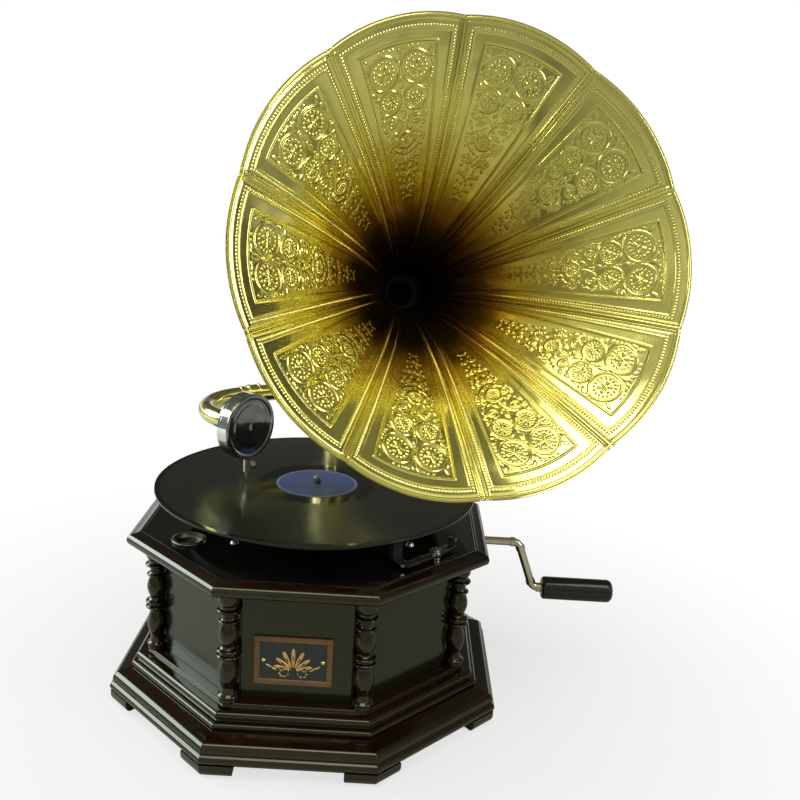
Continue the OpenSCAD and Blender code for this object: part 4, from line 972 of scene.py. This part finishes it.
# The camera sees the floor fade into white away from the object, and its shadow near it
seen = n.make("ShaderNodeLightPath").outputs["Is Camera Ray"]
glow = n.make("ShaderNodeEmission")
glow.inputs["Color"].default_value = (1, 1, 1, 1)
glow.inputs["Strength"].default_value = 1.0
away = n.make("ShaderNodeVectorMath", operation="LENGTH")
n.link(n.geometry, away.inputs[0])
fade = n.ramp(away.outputs["Value"], [(0.20, 0.72), (0.60, 1.0)])
blend = n.make("ShaderNodeMixShader")
n.link(n.maths("MULTIPLY", fade, seen), blend.inputs[0])
n.link(n.shader.outputs["BSDF"], blend.inputs[1])
n.link(glow.outputs["Emission"], blend.inputs[2])
n.link(blend.outputs["Shader"], n.tree.nodes["Material Output"].inputs["Surface"])
floor_data.materials.append(n.material)

# White to the camera; metal and lacquer mirror a dim room
world = bpy.data.worlds.new("studio")
world.use_nodes = True
scene.world = world
tree = world.node_tree


def world_node(kind, inputs=(), **values):
    """A node of the world; each input is a number or a socket."""
    node = tree.nodes.new(kind)
    for key, value in values.items():
        setattr(node, key, value)
    for socket, value in zip(node.inputs, inputs):
        if isinstance(value, (int, float)):
            socket.default_value = value
        else:
            tree.links.new(value, socket)
    return node


def world_maths(operation, *inputs):
    """A maths node; a product is clamped."""
    clamp = operation == "MULTIPLY"
    return world_node("ShaderNodeMath", inputs, operation=operation, use_clamp=clamp).outputs[0]


def between(source, low, high):
    """From 0 at low to 1 at high."""
    node = world_node("ShaderNodeMapRange", (source, low, high), interpolation_type="SMOOTHSTEP")
    return node.outputs[0]


way = world_node("ShaderNodeTexCoord").outputs["Generated"]
direction = world_node("ShaderNodeSeparateXYZ", (way,)).outputs
# Lighter above and to the right
level = world_maths("MULTIPLY_ADD", direction[2], 0.42, 0.44)
level = world_maths("MULTIPLY_ADD", direction[0], 0.10, level)
# Large soft patches, as of furniture and walls
room = tree.nodes.new("ShaderNodeTexNoise")
room.inputs["Scale"].default_value = 2.2
room.inputs["Detail"].default_value = 1.0
tree.links.new(way, room.inputs["Vector"])
furnished = world_node("ShaderNodeMath", (between(room.outputs["Fac"], 0.40, 0.60), -0.60, 1.18),
                       operation="MULTIPLY_ADD").outputs[0]
level = world_node("ShaderNodeMath", (level, furnished), operation="MULTIPLY").outputs[0]
# Dim behind the object, and white low behind it, where mirrors show the backdrop
behind = between(direction[1], -0.35, 0.15)
level = world_maths("MULTIPLY", level, world_maths("MULTIPLY_ADD", behind, -0.80, 1.0))
low = world_maths("SUBTRACT", 1.0, between(direction[2], 0.10, 0.20))
backdrop = world_maths("MULTIPLY", between(direction[1], 0.0, 0.2), low)
rays = world_node("ShaderNodeLightPath").outputs
mirrored = world_maths("MAXIMUM", rays["Is Glossy Ray"], rays["Is Transmission Ray"])
white = world_maths("MAXIMUM", rays["Is Camera Ray"], world_maths("MULTIPLY", mirrored, backdrop))
# Diffuse surfaces get less of the room
diffuse = world_maths("SUBTRACT", 1.0, world_maths("MAXIMUM", mirrored, rays["Is Camera Ray"]))
level = world_maths("MULTIPLY", level, world_maths("MULTIPLY_ADD", diffuse, -0.35, 1.0))
tinted = (world_maths("MULTIPLY", level, 0.97), level, world_maths("MULTIPLY", level, 0.84))
colour = world_node("ShaderNodeCombineColor", [world_maths("MAXIMUM", v, white) for v in tinted]).outputs[0]
back = tree.nodes["Background"]
tree.links.new(colour, back.inputs["Color"])
back.inputs["Strength"].default_value = 1.0
